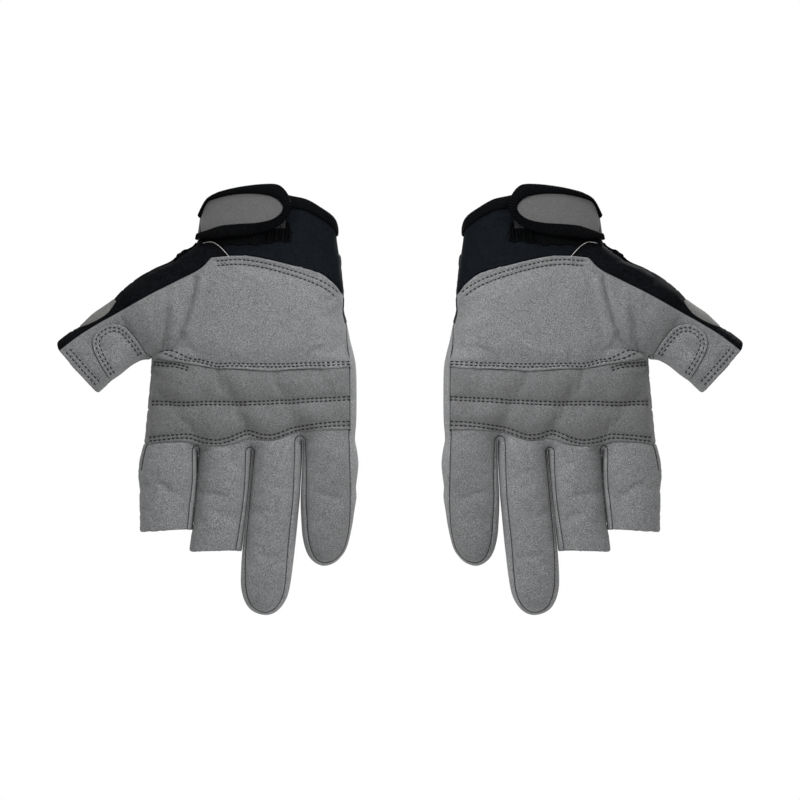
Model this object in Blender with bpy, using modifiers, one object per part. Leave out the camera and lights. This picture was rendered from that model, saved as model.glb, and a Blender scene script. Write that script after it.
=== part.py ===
"""Sailing gloves: a right and a left glove, palms facing -Y, fingers down, as they hang on the wearer's hands.

Each glove is cut from flat panels and sewn: a suede heel panel, a reinforcement patch over the palm, a suede palm
base, a stretch back, a neoprene cuff with its rim binding, a hook-and-loop wrist strap, and a stall for each finger.
The thumb, index and middle stalls are open at the end, and the ring and little stalls are closed.

Frame: +Z up, origin midway between the two wrists at the height of the cuff mouths.
Everything is laid out in a glove frame in millimetres: a runs outboard from the pair's middle plane, v runs up,
and w runs out of the palm. The right glove is at X = -a and the left glove at X = +a, with Y = -w and Z = v.
"""

import math

import bmesh
import bpy
from mathutils import Vector

MM = 0.001

# ---- driving dimensions, millimetres ----
SUEDE = 1.1  # thickness of the suede panels
STRETCH = 1.0  # thickness of the stretch back
NEOPRENE = 2.0  # thickness of the cuff
STRAP = 1.5  # thickness of the wrist strap
PAD = 0.8  # thickness of each hook or loop pad
BACK_W = -16.0  # the plane that the back of the hand lies in
ROUND_PALM, ROUND_FINGER, ROUND_THUMB = 16.0, 9.0, 12.0  # edge rounding, palm side
ROUND_BACK_PALM, ROUND_BACK_FINGER = 8.0, 7.0  # edge rounding, back
SEAM = 0.62  # share of the half thickness at which a side wall meets its panel
KNUCKLE_V, LITTLE_KNUCKLE_V = -124.5, -120.0  # hinge lines of the finger stalls
THUMB_CROTCH = (124.5, -78.5)
THUMB_ALONG = (0.78, -0.625)  # unit vector along the thumb stall
THUMB_ACROSS = (0.625, 0.78)  # and across it, towards its outer edge
CUFF_W, CUFF_DEPTH, CUFF_POWER = 2.0, 16.0, 2.6  # the wrist's section is a superellipse
STRAP_ROOT = 15.2  # angle round the wrist, in degrees from the thumb side, of the strap's hinge

# height of the palm side above w = 0, by v
FRONT_BY_V = [(-208, 4.0), (-165, 5.0), (-140, 6.0), (-122, 8.0), (-105, 11.0), (-85, 14.0), (-60, 17.0), (-35, 18.0), (10, 18.0)]
CUFF_IN = [(-55, 28.2), (-45, 28.5), (-33.5, 29.5), (-18, 31.5), (8, 31.8)]
CUFF_OUT = [(-47, 104.0), (-23, 100.0), (-18, 97.5), (-6, 96.2), (8, 95.8)]

# ---- outlines, (a, v) ----
LITTLE_WALL = [(31.5, -18), (29.5, -33.5), (28.5, -45), (28.2, -55), (26.5, -62.5), (25, -70), (23, -78), (22, -85), (21.8, -100), (21.8, -126)]
WEB_WALL = [(128.8, -126), (127.5, -120), (126.5, -110), (125.5, -97.5), (125, -87.5), (124.5, -80)]
THENAR_WALL = [(149.3, -53.3), (139.2, -45.2), (131, -38.5), (122.8, -34.5), (114.7, -30.5), (109, -26.8), (103, -23.6)]
THENAR_SEAM = [(146.2, -57.8), (134.6, -51.9), (122.6, -45.6), (112.8, -40.6), (104.8, -36.9), (98.2, -33.2), (94.5, -29.3)]
THUMB_IN = [(129.6, -80.4), (136.5, -84.2), (143.6, -89.2), (151.6, -95.6)]
THUMB_OUT = [(151.0, -54.2), (157.6, -59.3), (163.8, -64.8), (171.6, -71.6)]
THUMB_SEAM_INSET = [6.3, 5.2, 4.2, 3.3]
INDEX = (
    [(128.8, -125.5), (130.4, -135), (130.6, -145), (130.4, -155), (130.2, -165.5)],
    [(102.1, -125.5), (102.4, -135), (103.0, -145), (104.0, -155), (105.2, -164.8)],
)
MIDDLE = (
    [(101.1, -125.5), (101.3, -138), (102.2, -150), (103.4, -162), (104.5, -175.3)],
    [(74.8, -125.5), (75.5, -137.5), (76.8, -150), (78.4, -162.5), (80.0, -175.3)],
)
RING = (
    [(73.8, -125.5), (74.8, -135), (76.2, -150), (78, -165), (79.2, -175), (80, -185), (79.5, -194), (77.2, -201), (73.5, -205.5), (67.8, -207.5)],
    [(49.8, -125.5), (50.1, -140), (50.8, -154.5), (51.9, -165), (53, -175), (54.2, -184), (55.6, -193), (58.2, -200.6), (62.5, -205.6), (67.8, -207.5)],
)
LITTLE = (
    [(48.6, -121), (49.1, -133), (49.2, -145), (49.1, -157.5), (48.2, -169), (46, -176.5), (43, -180.5), (38.5, -183)],
    [(21.7, -121), (21.5, -134), (21.8, -145), (22.5, -154.5), (24, -165), (26.5, -173.5), (31.5, -180), (38.5, -183)],
)
HEEL_ROWS = [
    ((93.2, -30.5), (84.5, -29.3)), ((97, -34.5), (70, -30.3)), ((104, -38.2), (54, -33.8)), ((112, -41.8), (42, -37.3)),
    ((122, -46.8), (34.5, -42.8)), ((134, -53.2), (32.8, -50)), ((145.4, -59.0), (31.6, -59)), ((136.5, -70.2), (29.5, -69)),
    ((129, -79.4), (27.5, -77.5)), ((123.2, -83.6), (26.5, -83.6)),
]
BACK_ROWS = [
    ((103.6, -27.4), (33.2, -27.4)), ((113, -32.8), (31.8, -37)), ((122.5, -37.6), (31.2, -45)), ((131, -42.2), (30.8, -53)),
    ((139, -48.8), (29.5, -61)), ((146.8, -55.8), (27.8, -69)), ((138.6, -67.6), (26.4, -76)), ((129.4, -79.1), (24.8, -84)),
    ((122.8, -84.5), (24.5, -91)), ((123.1, -97.5), (24.4, -102)), ((124.2, -110), (24.4, -111)), ((125.4, -123.4), (24.4, -119.2)),
]
PATCH_EDGE = [(26, -114.6), (37.5, -114.8), (50.5, -115.6), (64, -119.8), (75, -118.8), (83.5, -121.6), (94, -122.6), (107, -120.8), (116.5, -120.8), (127, -121.6)]
CUFF_SEAM = [(29.8, -46.3), (33.5, -41.4), (39.7, -36.6), (46.5, -34.4), (54, -32.4), (64.2, -29.9), (74.5, -28), (84.5, -27.7), (92, -28), (95.5, -24.5), (98, -21.4)]
CUFF_RIM = [(31.5, -14), (33.5, -8), (40, -3.3), (46.5, 0.2), (55, 2), (62, 3.5), (69, 3.8), (77.5, 3), (89, 1), (94, -2.5), (96.5, -8)]
BACK_RIM = [(31.5, -14), (36, -8), (48, -4), (63, -2.5), (80, -3), (92, -5), (96.5, -8)]
TAB_EDGES = [
    (99.2, -7.7, -16.5), (98, -5.8, -16.1), (96.4, -2.9, -15.6), (94.8, -1.5, -15.1), (90.5, 0.4, -13.6), (84.6, 1.3, -12.9),
    (74.4, 2, -12.4), (69, 1.3, -11.7), (64.2, 0.6, -10.7), (61.6, -0.8, -8.9), (59.8, -2.9, -5.9),
]
BINDING_PAIRS = [
    ((99.4, -7.3), (99.4, -5.4)), ((96.2, -1.4), (96.6, 0.6)), ((91, 1.0), (91.5, 3.8)), ((84.6, 1.9), (86, 5.4)), ((74.4, 2.6), (75.5, 7.2)),
    ((64.6, 1.4), (63.5, 7.8)), ((60.4, -0.7), (57.4, 4.8)), ((58.4, -3.9), (54.2, -3.2)), ((60.3, -8.9), (56.4, -9.2)),
    ((64.2, -11.4), (60.6, -14)), ((71.8, -12.9), (70.5, -16.8)), ((82, -13.2), (83, -18.3)), ((90.5, -14.2), (91, -19)), ((99.4, -17.2), (99.4, -19.2)),
]

# ---- materials: colour, roughness, metallic ----
MATERIALS = {
    "grey_suede": ((0.195, 0.2, 0.205, 1), 0.92, 0.0),
    "strap_suede": ((0.125, 0.125, 0.125, 1), 0.92, 0.0),
    "black_stretch": ((0.012, 0.013, 0.016, 1), 0.8, 0.0),
    "black_neoprene": ((0.011, 0.013, 0.016, 1), 0.75, 0.0),
    "black_binding": ((0.01, 0.01, 0.012, 1), 0.7, 0.0),
    "hook_tape": ((0.02, 0.02, 0.022, 1), 0.55, 0.0),
    "loop_tape": ((0.015, 0.015, 0.017, 1), 0.95, 0.0),
}


def table(t, points):
    """Straight-line interpolation in a list of (t, value), held level past its ends."""
    if t <= points[0][0]:
        return points[0][1]
    for (t0, y0), (t1, y1) in zip(points, points[1:]):
        if t <= t1:
            return y0 + (y1 - y0) * (t - t0) / (t1 - t0)
    return points[-1][1]


def smooth(lo, hi, t):
    t = min(max((t - lo) / (hi - lo), 0.0), 1.0)
    return t * t * (3 - 2 * t)


def mix(p, q, t):
    return tuple(x + (y - x) * t for x, y in zip(p, q))


def distance(a, v, wall):
    """Distance from (a, v) to a wall's outline."""
    best = 1e9
    for (a0, v0), (a1, v1) in zip(wall, wall[1:]):
        da, dv = a1 - a0, v1 - v0
        t = min(max(((a - a0) * da + (v - v0) * dv) / (da * da + dv * dv), 0.0), 1.0)
        best = min(best, math.hypot(a - a0 - t * da, v - v0 - t * dv))
    return best


def thumb_share(a, v):
    """0 on the hand, 1 on the thumb stall."""
    ra, rv = a - THUMB_CROTCH[0], v - THUMB_CROTCH[1]
    along = ra * THUMB_ALONG[0] + rv * THUMB_ALONG[1]
    across = ra * THUMB_ACROSS[0] + rv * THUMB_ACROSS[1]
    return smooth(-14, 6, along) * smooth(-8, 0, across)


def front_w(a, v):
    share = thumb_share(a, v)
    return table(v, FRONT_BY_V) * (1 - share) + 10.0 * share


def back_w(a, v):
    share = thumb_share(a, v)
    return BACK_W * (1 - share) - 13.0 * share


class Form:
    """A stuffed shape: full thickness inside, rounded off towards its walls. offset moves the surface outwards."""

    def __init__(self, walls, round_front, round_back):
        self.walls, self.rf, self.rb = walls, round_front, round_back

    def surface(self, a, v, side, offset=0.0):
        far, radius = (front_w(a, v), self.rf) if side > 0 else (back_w(a, v), self.rb)
        mid = (front_w(a, v) + back_w(a, v)) / 2
        d = min(distance(a, v, w) for w in self.walls) + offset
        t = 1 - min(max(d / (radius + offset), 0.0), 1.0)
        half = abs(far - mid) + offset
        return (a, v, mid + side * half * math.sqrt(1 - t * t))

    def wall(self, p, n, s, offset=0.0):
        """The point at share s of the half thickness on the wall through outline point p, whose inward normal is n."""
        a, v = p
        mid = (front_w(a, v) + back_w(a, v)) / 2
        far, radius = (front_w(a, v), self.rf) if s > 0 else (back_w(a, v), self.rb)
        d = (radius + offset) * (1 - math.sqrt(1 - s * s)) - offset
        return (a + n[0] * d, v + n[1] * d, mid + s * (abs(far - mid) + offset))


def normals(path, inside):
    """Unit normals of a path, on the side of the point inside."""
    found = []
    for i, p in enumerate(path):
        p0, p1 = path[max(i - 1, 0)], path[min(i + 1, len(path) - 1)]
        da, dv = p1[0] - p0[0], p1[1] - p0[1]
        size = math.hypot(da, dv)
        found.append((-dv / size, da / size))
    middle = len(path) // 2
    p, n = path[middle], found[middle]
    if n[0] * (inside[0] - p[0]) + n[1] * (inside[1] - p[1]) < 0:
        found = [(-x, -y) for x, y in found]
    return found


def wrist(psi, v, offset=0.0):
    """A point round the wrist: psi in degrees from the thumb side, 90 at the palm and -90 at the back."""
    inner, outer = table(v, CUFF_IN), table(v, CUFF_OUT)
    centre, half = (inner + outer) / 2, (outer - inner) / 2 + offset
    c, s = math.cos(math.radians(psi)), math.sin(math.radians(psi))
    power = 2 / CUFF_POWER
    return (
        centre + half * math.copysign(abs(c) ** power, c),
        v,
        CUFF_W + (CUFF_DEPTH + offset) * math.copysign(abs(s) ** power, s),
    )


def wrist_at(a, v, offset=0.0):
    """The point of the wrist's palm side at (a, v)."""
    inner, outer = table(v, CUFF_IN), table(v, CUFF_OUT)
    x = min(abs(a - (inner + outer) / 2) / ((outer - inner) / 2 + offset), 0.999)
    return (a, v, CUFF_W + (CUFF_DEPTH + offset) * (1 - x**CUFF_POWER) ** (1 / CUFF_POWER))


# ---- building ----
for old in list(bpy.data.objects):
    bpy.data.objects.remove(old)

collection = bpy.data.collections.new("sailing_gloves")
bpy.context.scene.collection.children.link(collection)

materials = {}
for name, (colour, roughness, metallic) in MATERIALS.items():
    material = bpy.data.materials.new(name)
    material.use_nodes = True
    shader = material.node_tree.nodes["Principled BSDF"]
    shader.inputs["Base Color"].default_value = colour
    shader.inputs["Roughness"].default_value = roughness
    shader.inputs["Metallic"].default_value = metallic
    materials[name] = material


class Glove:
    def __init__(self, name, sign):
        self.name, self.sign, self.pivots = name, sign, {}

    def world(self, p):
        a, v, w = p
        return Vector((self.sign * a, -w, v)) * MM

    def pivot(self, body, point):
        """An empty on a joint's axis, which the body's pieces are parented to."""
        empty = bpy.data.objects.new(f"{self.name}_{body}_pivot", None)
        empty.location = self.world(point)
        collection.objects.link(empty)
        self.pivots[body] = empty

    def sheet(self, name, body, nu, nv, place, thickness, inside, material, closed=False):
        """A fabric panel: a grid laid on the points place(u, v), then thickened towards the inside."""
        bm = bmesh.new()
        bmesh.ops.create_grid(bm, x_segments=nu, y_segments=nv, size=0.5)
        for vert in bm.verts:
            vert.co = self.world(place(min(max(vert.co.x + 0.5, 0), 1), min(max(vert.co.y + 0.5, 0), 1)))
        if closed:
            bmesh.ops.remove_doubles(bm, verts=bm.verts, dist=1e-6)
        bm.normal_update()
        core = self.world(inside)
        outward = sum((f.normal.dot(f.calc_center_median() - core) * f.calc_area()) for f in bm.faces)
        if outward < 0:
            bmesh.ops.reverse_faces(bm, faces=bm.faces)
        mesh = bpy.data.meshes.new(f"{self.name}_{name}")
        bm.to_mesh(mesh)
        bm.free()
        mesh.shade_smooth()
        mesh.materials.append(materials[material])
        obj = bpy.data.objects.new(f"{self.name}_{name}", mesh)
        collection.objects.link(obj)
        solid = obj.modifiers.new("thickness", "SOLIDIFY")
        solid.thickness = thickness * MM
        solid.offset = -1
        solid.use_even_offset = True
        if body in self.pivots:
            pivot = self.pivots[body]
            mesh.transform(pivot.matrix_basis.inverted())
            obj.parent = pivot
        return obj

    def ruled(self, name, body, form, side, rows, cols, thickness, material, offset=0.0):
        """A panel between two edges, given as rows of (one edge's point, the other's)."""

        def place(u, v):
            i = min(int(v * (len(rows) - 1) + 1e-6), len(rows) - 2)
            t = v * (len(rows) - 1) - i
            p, q = mix(rows[i][0], rows[i + 1][0], t), mix(rows[i][1], rows[i + 1][1], t)
            a, v = mix(p, q, u)
            return form.surface(a, v, side, offset)

        middle = mix(rows[len(rows) // 2][0], rows[len(rows) // 2][1], 0.5)
        return self.sheet(name, body, cols, len(rows) - 1, place, thickness, (*middle, -3 - 60 * side), material)

    def swept(self, name, body, form, path, inside, shares, cols, thickness, material, tail=None):
        """A side wall: the path swept with the wall's profile. tail is a second path that the sheet runs on to, on the palm side."""
        n = normals(path, inside)
        steps = cols + (3 if tail else 0)

        def place(u, v):
            i = min(int(u * (len(path) - 1) + 1e-6), len(path) - 2)
            t = u * (len(path) - 1) - i
            p, m = mix(path[i], path[i + 1], t), mix(n[i], n[i + 1], t)
            step = v * steps
            if step <= cols + 1e-6:
                return form.wall(p, m, shares[0] + (shares[1] - shares[0]) * step / cols)
            d = form.rf * (1 - math.sqrt(1 - shares[1] ** 2))
            start = (p[0] + m[0] * d, p[1] + m[1] * d)
            a, v = mix(start, mix(tail[i], tail[i + 1], t), (step - cols) / 3)
            return form.surface(a, v, 1)

        return self.sheet(name, body, len(path) - 1, steps, place, thickness, (*inside, -4), material)


def finger_forms():
    return {
        "index": Form([INDEX[0], INDEX[1]], ROUND_FINGER, ROUND_BACK_FINGER),
        "middle": Form([MIDDLE[0], MIDDLE[1]], ROUND_FINGER, ROUND_BACK_FINGER),
        "ring": Form([RING[0], RING[1]], ROUND_FINGER, ROUND_BACK_FINGER),
        "little": Form([LITTLE[0], LITTLE[1]], ROUND_FINGER, ROUND_BACK_FINGER),
    }


def centre_of(sides):
    n = len(sides[0]) // 2
    return mix(sides[0][n], sides[1][n], 0.5)


def inset(path, inside, d):
    return [(p[0] + n[0] * d, p[1] + n[1] * d) for p, n in zip(path, normals(path, inside))]


def stall_rows(sides, d, closed):
    """Rows of a finger panel, inset from the stall's walls. A closed stall's last row stops short of the tip."""
    inside = centre_of(sides)
    if closed:
        loop = inset(sides[0] + sides[1][-2::-1], inside, d)
        n = len(sides[0])
        return [(loop[i], loop[-1 - i]) for i in range(n - 1)]
    return list(zip(inset(sides[0], inside, d), inset(sides[1], inside, d)))


def build(glove):
    hand = Form([LITTLE_WALL, WEB_WALL, THENAR_WALL], ROUND_PALM, ROUND_BACK_PALM)
    thumb = Form([THUMB_IN, THUMB_OUT], ROUND_THUMB, ROUND_BACK_PALM)
    fingers = finger_forms()
    hinge_a = {"index": 115.4, "middle": 87.9, "ring": 61.8, "little": 35.2}
    for finger, a in hinge_a.items():
        v = LITTLE_KNUCKLE_V if finger == "little" else KNUCKLE_V
        glove.pivot(finger, (a, v, front_w(a, v) + 0.4))
    glove.pivot("thumb", (THUMB_CROTCH[0] + 3.9 + 9.4, THUMB_CROTCH[1] - 3.1 + 11.7, 10.6))
    glove.pivot("strap", wrist(STRAP_ROOT, -10, 4.5))

    # -- the hand --
    glove.ruled("heel_palm_panel", "hand", hand, 1, HEEL_ROWS, 10, SUEDE, "grey_suede")

    def across(v_top, v_low, right, offset, wrap):
        """A palm panel from the web side to the little-finger side. Its first wrap columns run down the web side."""

        def place(u, v):
            column = u * (wrap + 10)
            if wrap and column < wrap - 1e-6:
                low = v_low(127)
                height = v_top + (low - v_top) * v
                wall = table(height, [(y, x) for x, y in WEB_WALL])
                return hand.wall((wall, height), (-1, 0), -0.55 + (SEAM + 0.55) * column / wrap, offset)
            t = (column - wrap) / 10
            height = v_top + (v_low(75) - v_top) * v
            wall = table(height, [(y, x) for x, y in WEB_WALL])
            d = (hand.rf + offset) * (1 - math.sqrt(1 - SEAM * SEAM)) - offset
            side_v = v_top + (v_low(127) - v_top) * v
            wall = table(side_v, [(y, x) for x, y in WEB_WALL])
            a = (wall - d) + (right(height) - (wall - d)) * t
            return hand.surface(a, v_top + (v_low(a) - v_top) * v, 1, offset)

        return place

    right_edge = lambda v: table(v, [(y, x) for x, y in reversed(LITTLE_WALL)]) + 3.9
    base_low = lambda a: -119.0 if a < 47 else (-119.0 - 4.4 * min((a - 47) / 4, 1))
    glove.sheet(
        "palm_base_panel", "hand", 10, 5, across(-84.9, base_low, lambda v: right_edge(v) + 1.5, -2.1, 0), 1.0, (75, -100, -60), "grey_suede"
    )
    glove.sheet(
        "palm_patch", "hand", 14, 5, across(-84.4, lambda a: table(a, PATCH_EDGE), right_edge, 0.0, 4), SUEDE, (75, -100, -5), "grey_suede"
    )
    glove.ruled("back_panel", "hand", hand, -1, BACK_ROWS, 8, STRETCH, "black_stretch")
    glove.swept("thenar_side_panel", "hand", hand, THENAR_WALL, (110, -60), (-0.58, SEAM), 5, STRETCH, "black_stretch", THENAR_SEAM)
    side_path = [p for p in LITTLE_WALL if -110 < p[1] < -50] + [(21.8, -118.6)]
    glove.swept("little_side_gusset", "hand", hand, side_path, (75, -85), (-0.58, 0.6), 4, STRETCH, "grey_suede")

    # -- the cuff --
    def on_cuff(psi, share, top_extra, low_extra, offset, top_only=None):
        psi = ((psi + 180) % 360) - 180
        a = wrist(psi, -15)[0]
        rim = table(a, CUFF_RIM if psi >= 0 else BACK_RIM) + top_extra
        if top_only is not None:
            low = rim - top_only
        elif psi >= 0:
            low = table(a, CUFF_SEAM) + low_extra
        else:
            side = smooth(150, 175, -psi) if -psi > 90 else 0
            low = -26.0 + 4.6 * smooth(60, 20, -psi) - 20.3 * side + low_extra
        return wrist(psi, rim + (low - rim) * share, offset)

    glove.sheet("cuff_sleeve", "hand", 28, 4, lambda u, v: on_cuff(360 * u - 180, v, 0, 0.3, 0), NEOPRENE, (64, -12, 2), "black_neoprene", True)
    glove.sheet("cuff_binding", "hand", 28, 2, lambda u, v: on_cuff(360 * u - 180, v, 0.8, 0, 1.4, 5.6), 1.0, (64, -12, 2), "black_binding", True)
    glove.sheet("loop_pad", "hand", 8, 2, lambda u, v: wrist_at(57 + 30 * u, -4.3 - 10.1 * v, 1.2), PAD, (64, -12, 2), "loop_tape")
    glove.sheet("wrist_elastic", "hand", 12, 2, lambda u, v: wrist(10 + 125 * u, -14.5 - 6 * v, -2.9), PAD, (64, -12, 2), "black_binding")

    def on_anchor(u, v):
        psi = 14.2 - 84 * u
        level = smooth(10, -50, psi)
        return wrist(psi, -7.5 - 9.9 * v, 4.5 - 1.1 * level)

    glove.sheet("strap_anchor", "hand", 10, 2, on_anchor, STRAP, (64, -12, 2), "strap_suede")

    # -- the wrist strap --
    def on_tab(u, v):
        i = min(int(u * (len(TAB_EDGES) - 1) + 1e-6), len(TAB_EDGES) - 2)
        a, top, low = mix(TAB_EDGES[i], TAB_EDGES[i + 1], u * (len(TAB_EDGES) - 1) - i)
        return wrist_at(a, top + (low - top) * v, 4.3)

    def on_binding(u, v):
        i = min(int(u * (len(BINDING_PAIRS) - 1) + 1e-6), len(BINDING_PAIRS) - 2)
        t = u * (len(BINDING_PAIRS) - 1) - i
        inner, outer = mix(BINDING_PAIRS[i][0], BINDING_PAIRS[i + 1][0], t), mix(BINDING_PAIRS[i][1], BINDING_PAIRS[i + 1][1], t)
        a, height = mix(inner, outer, v)
        return wrist_at(a, height, 4.5)

    glove.sheet("strap_tab", "strap", 10, 3, on_tab, STRAP, (64, -12, 2), "strap_suede")
    glove.sheet("strap_binding", "strap", 13, 1, on_binding, 1.8, (64, -12, 2), "black_binding")
    glove.sheet("strap_hook_pad", "strap", 6, 2, lambda u, v: wrist_at(62.5 + 21 * u, -4.3 - 6.6 * v, 2.28), PAD, (64, -12, 2), "hook_tape")

    # -- the thumb stall --
    inner_n, outer_n = THUMB_ACROSS, (-THUMB_ACROSS[0], -THUMB_ACROSS[1])

    def thumb_row(v):
        i = min(int(v * 3 + 1e-6), 2)
        t = v * 3 - i
        return mix(THUMB_IN[i], THUMB_IN[i + 1], t), mix(THUMB_OUT[i], THUMB_OUT[i + 1], t), THUMB_SEAM_INSET[i] + (THUMB_SEAM_INSET[i + 1] - THUMB_SEAM_INSET[i]) * t

    front_d = thumb.rf * (1 - math.sqrt(1 - SEAM * SEAM))
    back_d = thumb.rb * (1 - math.sqrt(1 - SEAM * SEAM))

    def on_thumb_palm(u, v):
        inner, outer, seam = thumb_row(v)
        step = u * 10
        if step <= 4:
            return thumb.wall(inner, inner_n, -0.2 + (SEAM + 0.2) * step / 4)
        p = (inner[0] + inner_n[0] * front_d, inner[1] + inner_n[1] * front_d)
        q = (outer[0] + outer_n[0] * (seam + 0.4), outer[1] + outer_n[1] * (seam + 0.4))
        return thumb.surface(*mix(p, q, (step - 4) / 6), 1)

    def on_thumb_back(u, v):
        inner, outer, seam = thumb_row(v)
        step = u * 15
        if step <= 2:
            p = (outer[0] + outer_n[0] * (seam - 0.3), outer[1] + outer_n[1] * (seam - 0.3))
            q = (outer[0] + outer_n[0] * front_d, outer[1] + outer_n[1] * front_d)
            return thumb.surface(*mix(p, q, step / 2), 1)
        if step <= 8:
            return thumb.wall(outer, outer_n, SEAM - 2 * SEAM * (step - 2) / 6)
        if step <= 13:
            p = (outer[0] + outer_n[0] * back_d, outer[1] + outer_n[1] * back_d)
            q = (inner[0] + inner_n[0] * back_d, inner[1] + inner_n[1] * back_d)
            return thumb.surface(*mix(p, q, (step - 8) / 5), -1)
        return thumb.wall(inner, inner_n, -SEAM + (SEAM - 0.26) * (step - 13) / 2)

    thumb_core = (150, -74, -1.5)
    glove.sheet("thumb_palm_panel", "thumb", 10, 5, on_thumb_palm, SUEDE, thumb_core, "grey_suede")
    glove.sheet("thumb_back_panel", "thumb", 15, 5, on_thumb_back, STRETCH, thumb_core, "black_stretch")

    def on_u_patch(u, v):
        """The thumb's reinforcement patch: a tongue, round at its outer end."""
        reach = 0.5 + 24.6 * v
        half = 8.9 * math.sqrt(max(1 - (max(reach - 15.5, 0) / 9.6) ** 2, 0.04)) * (0.94 + 0.06 * (1 - v))
        base = (THUMB_CROTCH[0] + THUMB_ALONG[0] * 15.2, THUMB_CROTCH[1] + THUMB_ALONG[1] * 15.2)
        lean = (0.5, 0.866)
        a = base[0] + lean[0] * (reach + 1.5) + THUMB_ALONG[0] * half * (2 * u - 1)
        height = base[1] + lean[1] * (reach + 1.5) + THUMB_ALONG[1] * half * (2 * u - 1)
        return thumb.surface(a, height, 1, 1.65)

    glove.sheet("thumb_patch", "thumb", 6, 8, on_u_patch, 1.1, (150, -74, -60), "grey_suede")

    def on_back_patch(u, v):
        inner, outer, _ = thumb_row(0.08 + 0.62 * v)
        step = u * 6
        if step <= 3:
            return thumb.wall(outer, outer_n, 0.15 - (SEAM + 0.15) * step / 3, 1.4)
        p = (outer[0] + outer_n[0] * back_d, outer[1] + outer_n[1] * back_d)
        q = (outer[0] + outer_n[0] * 17, outer[1] + outer_n[1] * 17)
        return thumb.surface(*mix(p, q, (step - 3) / 3), -1, 1.4)

    glove.sheet("thumb_back_patch", "thumb", 6, 3, on_back_patch, 1.0, thumb_core, "grey_suede")

    # -- the finger stalls --
    for finger, sides in (("index", INDEX), ("middle", MIDDLE)):
        form, inside = fingers[finger], centre_of(sides)
        rows = stall_rows(sides, 2.5, False)
        outer_normals = normals(sides[0], inside)
        n = len(rows) - 1

        def on_palm(u, v, form=form, sides=sides, rows=rows, outer_normals=outer_normals, n=n):
            i = min(int(v * n + 1e-6), n - 1)
            t = v * n - i
            step = u * 10
            p, m = mix(sides[0][i], sides[0][i + 1], t), mix(outer_normals[i], outer_normals[i + 1], t)
            if step <= 4:
                return form.wall(p, m, -0.55 + (SEAM + 0.55) * step / 4)
            d = form.rf * (1 - math.sqrt(1 - SEAM * SEAM))
            start = (p[0] + m[0] * d, p[1] + m[1] * d)
            end = mix(rows[i][1], rows[i + 1][1], t)
            return form.surface(*mix(start, end, (step - 4) / 6), 1)

        glove.sheet(f"{finger}_palm_panel", finger, 10, n, on_palm, SUEDE, (*inside, -5), "grey_suede")
        glove.ruled(f"{finger}_back_panel", finger, form, -1, rows, 4, STRETCH, "black_stretch")
        glove.swept(f"{finger}_gusset", finger, form, sides[1], inside, (-0.58, 0.56), 4, STRETCH, "grey_suede")
    for finger, sides in (("ring", RING), ("little", LITTLE)):
        form, inside = fingers[finger], centre_of(sides)
        rows = stall_rows(sides, 2.6, True)
        glove.ruled(f"{finger}_palm_panel", finger, form, 1, rows, 5, SUEDE, "grey_suede")
        glove.ruled(f"{finger}_back_panel", finger, form, -1, rows, 5, STRETCH, "black_stretch")
        glove.swept(f"{finger}_gusset", finger, form, sides[0] + sides[1][-2::-1], inside, (-0.58, 0.56), 4, STRETCH, "grey_suede")


for side, sign in (("right", -1), ("left", 1)):
    build(Glove(side, sign))
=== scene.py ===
"""The looks of a pair of sailing gloves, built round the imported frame.

Both gloves are worked out once, in a glove frame in millimetres: a runs outboard from the pair's middle plane, v runs up
and w runs out of the palm. The right glove is at X = -a, the left glove at X = +a, Y = -w and Z = v.
"""

import math

import bmesh
import bpy
import numpy as np
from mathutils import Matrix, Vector
from mathutils.geometry import delaunay_2d_cdt


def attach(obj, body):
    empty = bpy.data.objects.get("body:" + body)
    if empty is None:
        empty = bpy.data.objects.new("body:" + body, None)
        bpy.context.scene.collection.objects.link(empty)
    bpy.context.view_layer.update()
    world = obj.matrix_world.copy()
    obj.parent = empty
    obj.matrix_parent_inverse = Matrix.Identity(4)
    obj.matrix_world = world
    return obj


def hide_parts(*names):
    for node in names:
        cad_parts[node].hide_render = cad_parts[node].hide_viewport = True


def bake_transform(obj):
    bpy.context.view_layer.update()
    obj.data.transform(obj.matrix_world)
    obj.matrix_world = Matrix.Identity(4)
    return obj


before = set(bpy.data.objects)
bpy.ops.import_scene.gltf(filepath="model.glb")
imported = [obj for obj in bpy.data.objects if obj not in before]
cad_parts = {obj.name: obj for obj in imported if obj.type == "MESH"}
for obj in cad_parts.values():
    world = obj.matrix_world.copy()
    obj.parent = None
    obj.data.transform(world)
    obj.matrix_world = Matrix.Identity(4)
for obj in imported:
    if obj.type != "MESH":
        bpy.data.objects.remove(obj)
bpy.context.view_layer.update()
MM = 0.001
A = np.array

# ---------------------------------------------------------------- outlines, (a, v) or (a, v, seam inset), millimetres
LITTLE_SIDE = A([
    (31.5, -18, 1.2), (31, -25.5, 1.1), (29.5, -33.5, 1.0), (28.5, -45, 1.0), (28.2, -55, 0.9), (26.5, -62.5, 0.9), (25, -70, 2.1),
    (23, -78, 3.3), (22, -85, 3.9), (21.8, -100, 4.0), (22.0, -111, 3.8), (22.6, -119.5, 3.0), (21.5, -126, 3.9), (20.9, -132, 4.3),
    (21.4, -138, 3.7), (22.1, -143.5, 2.9), (21.9, -149, 3.1), (22.9, -155.5, 2.2), (24.2, -164, 1.4), (26.5, -173.5, 1.1), (29.2, -178.4, 1.1), (33.3, -182.2, 1.4), (38.7, -183.6, 1.8),
])
LITTLE_GAP = A([
    (38.7, -183.6, 1.8), (43.6, -181.4, 2.2), (46.9, -177, 2.8), (49.0, -169.5, 3.0), (49.8, -160, 3.1), (50.1, -150, 2.9), (49.7, -140, 2.6),
    (49.22, -130, 2.0), (49.13, -121, 1.7),
])
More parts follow.
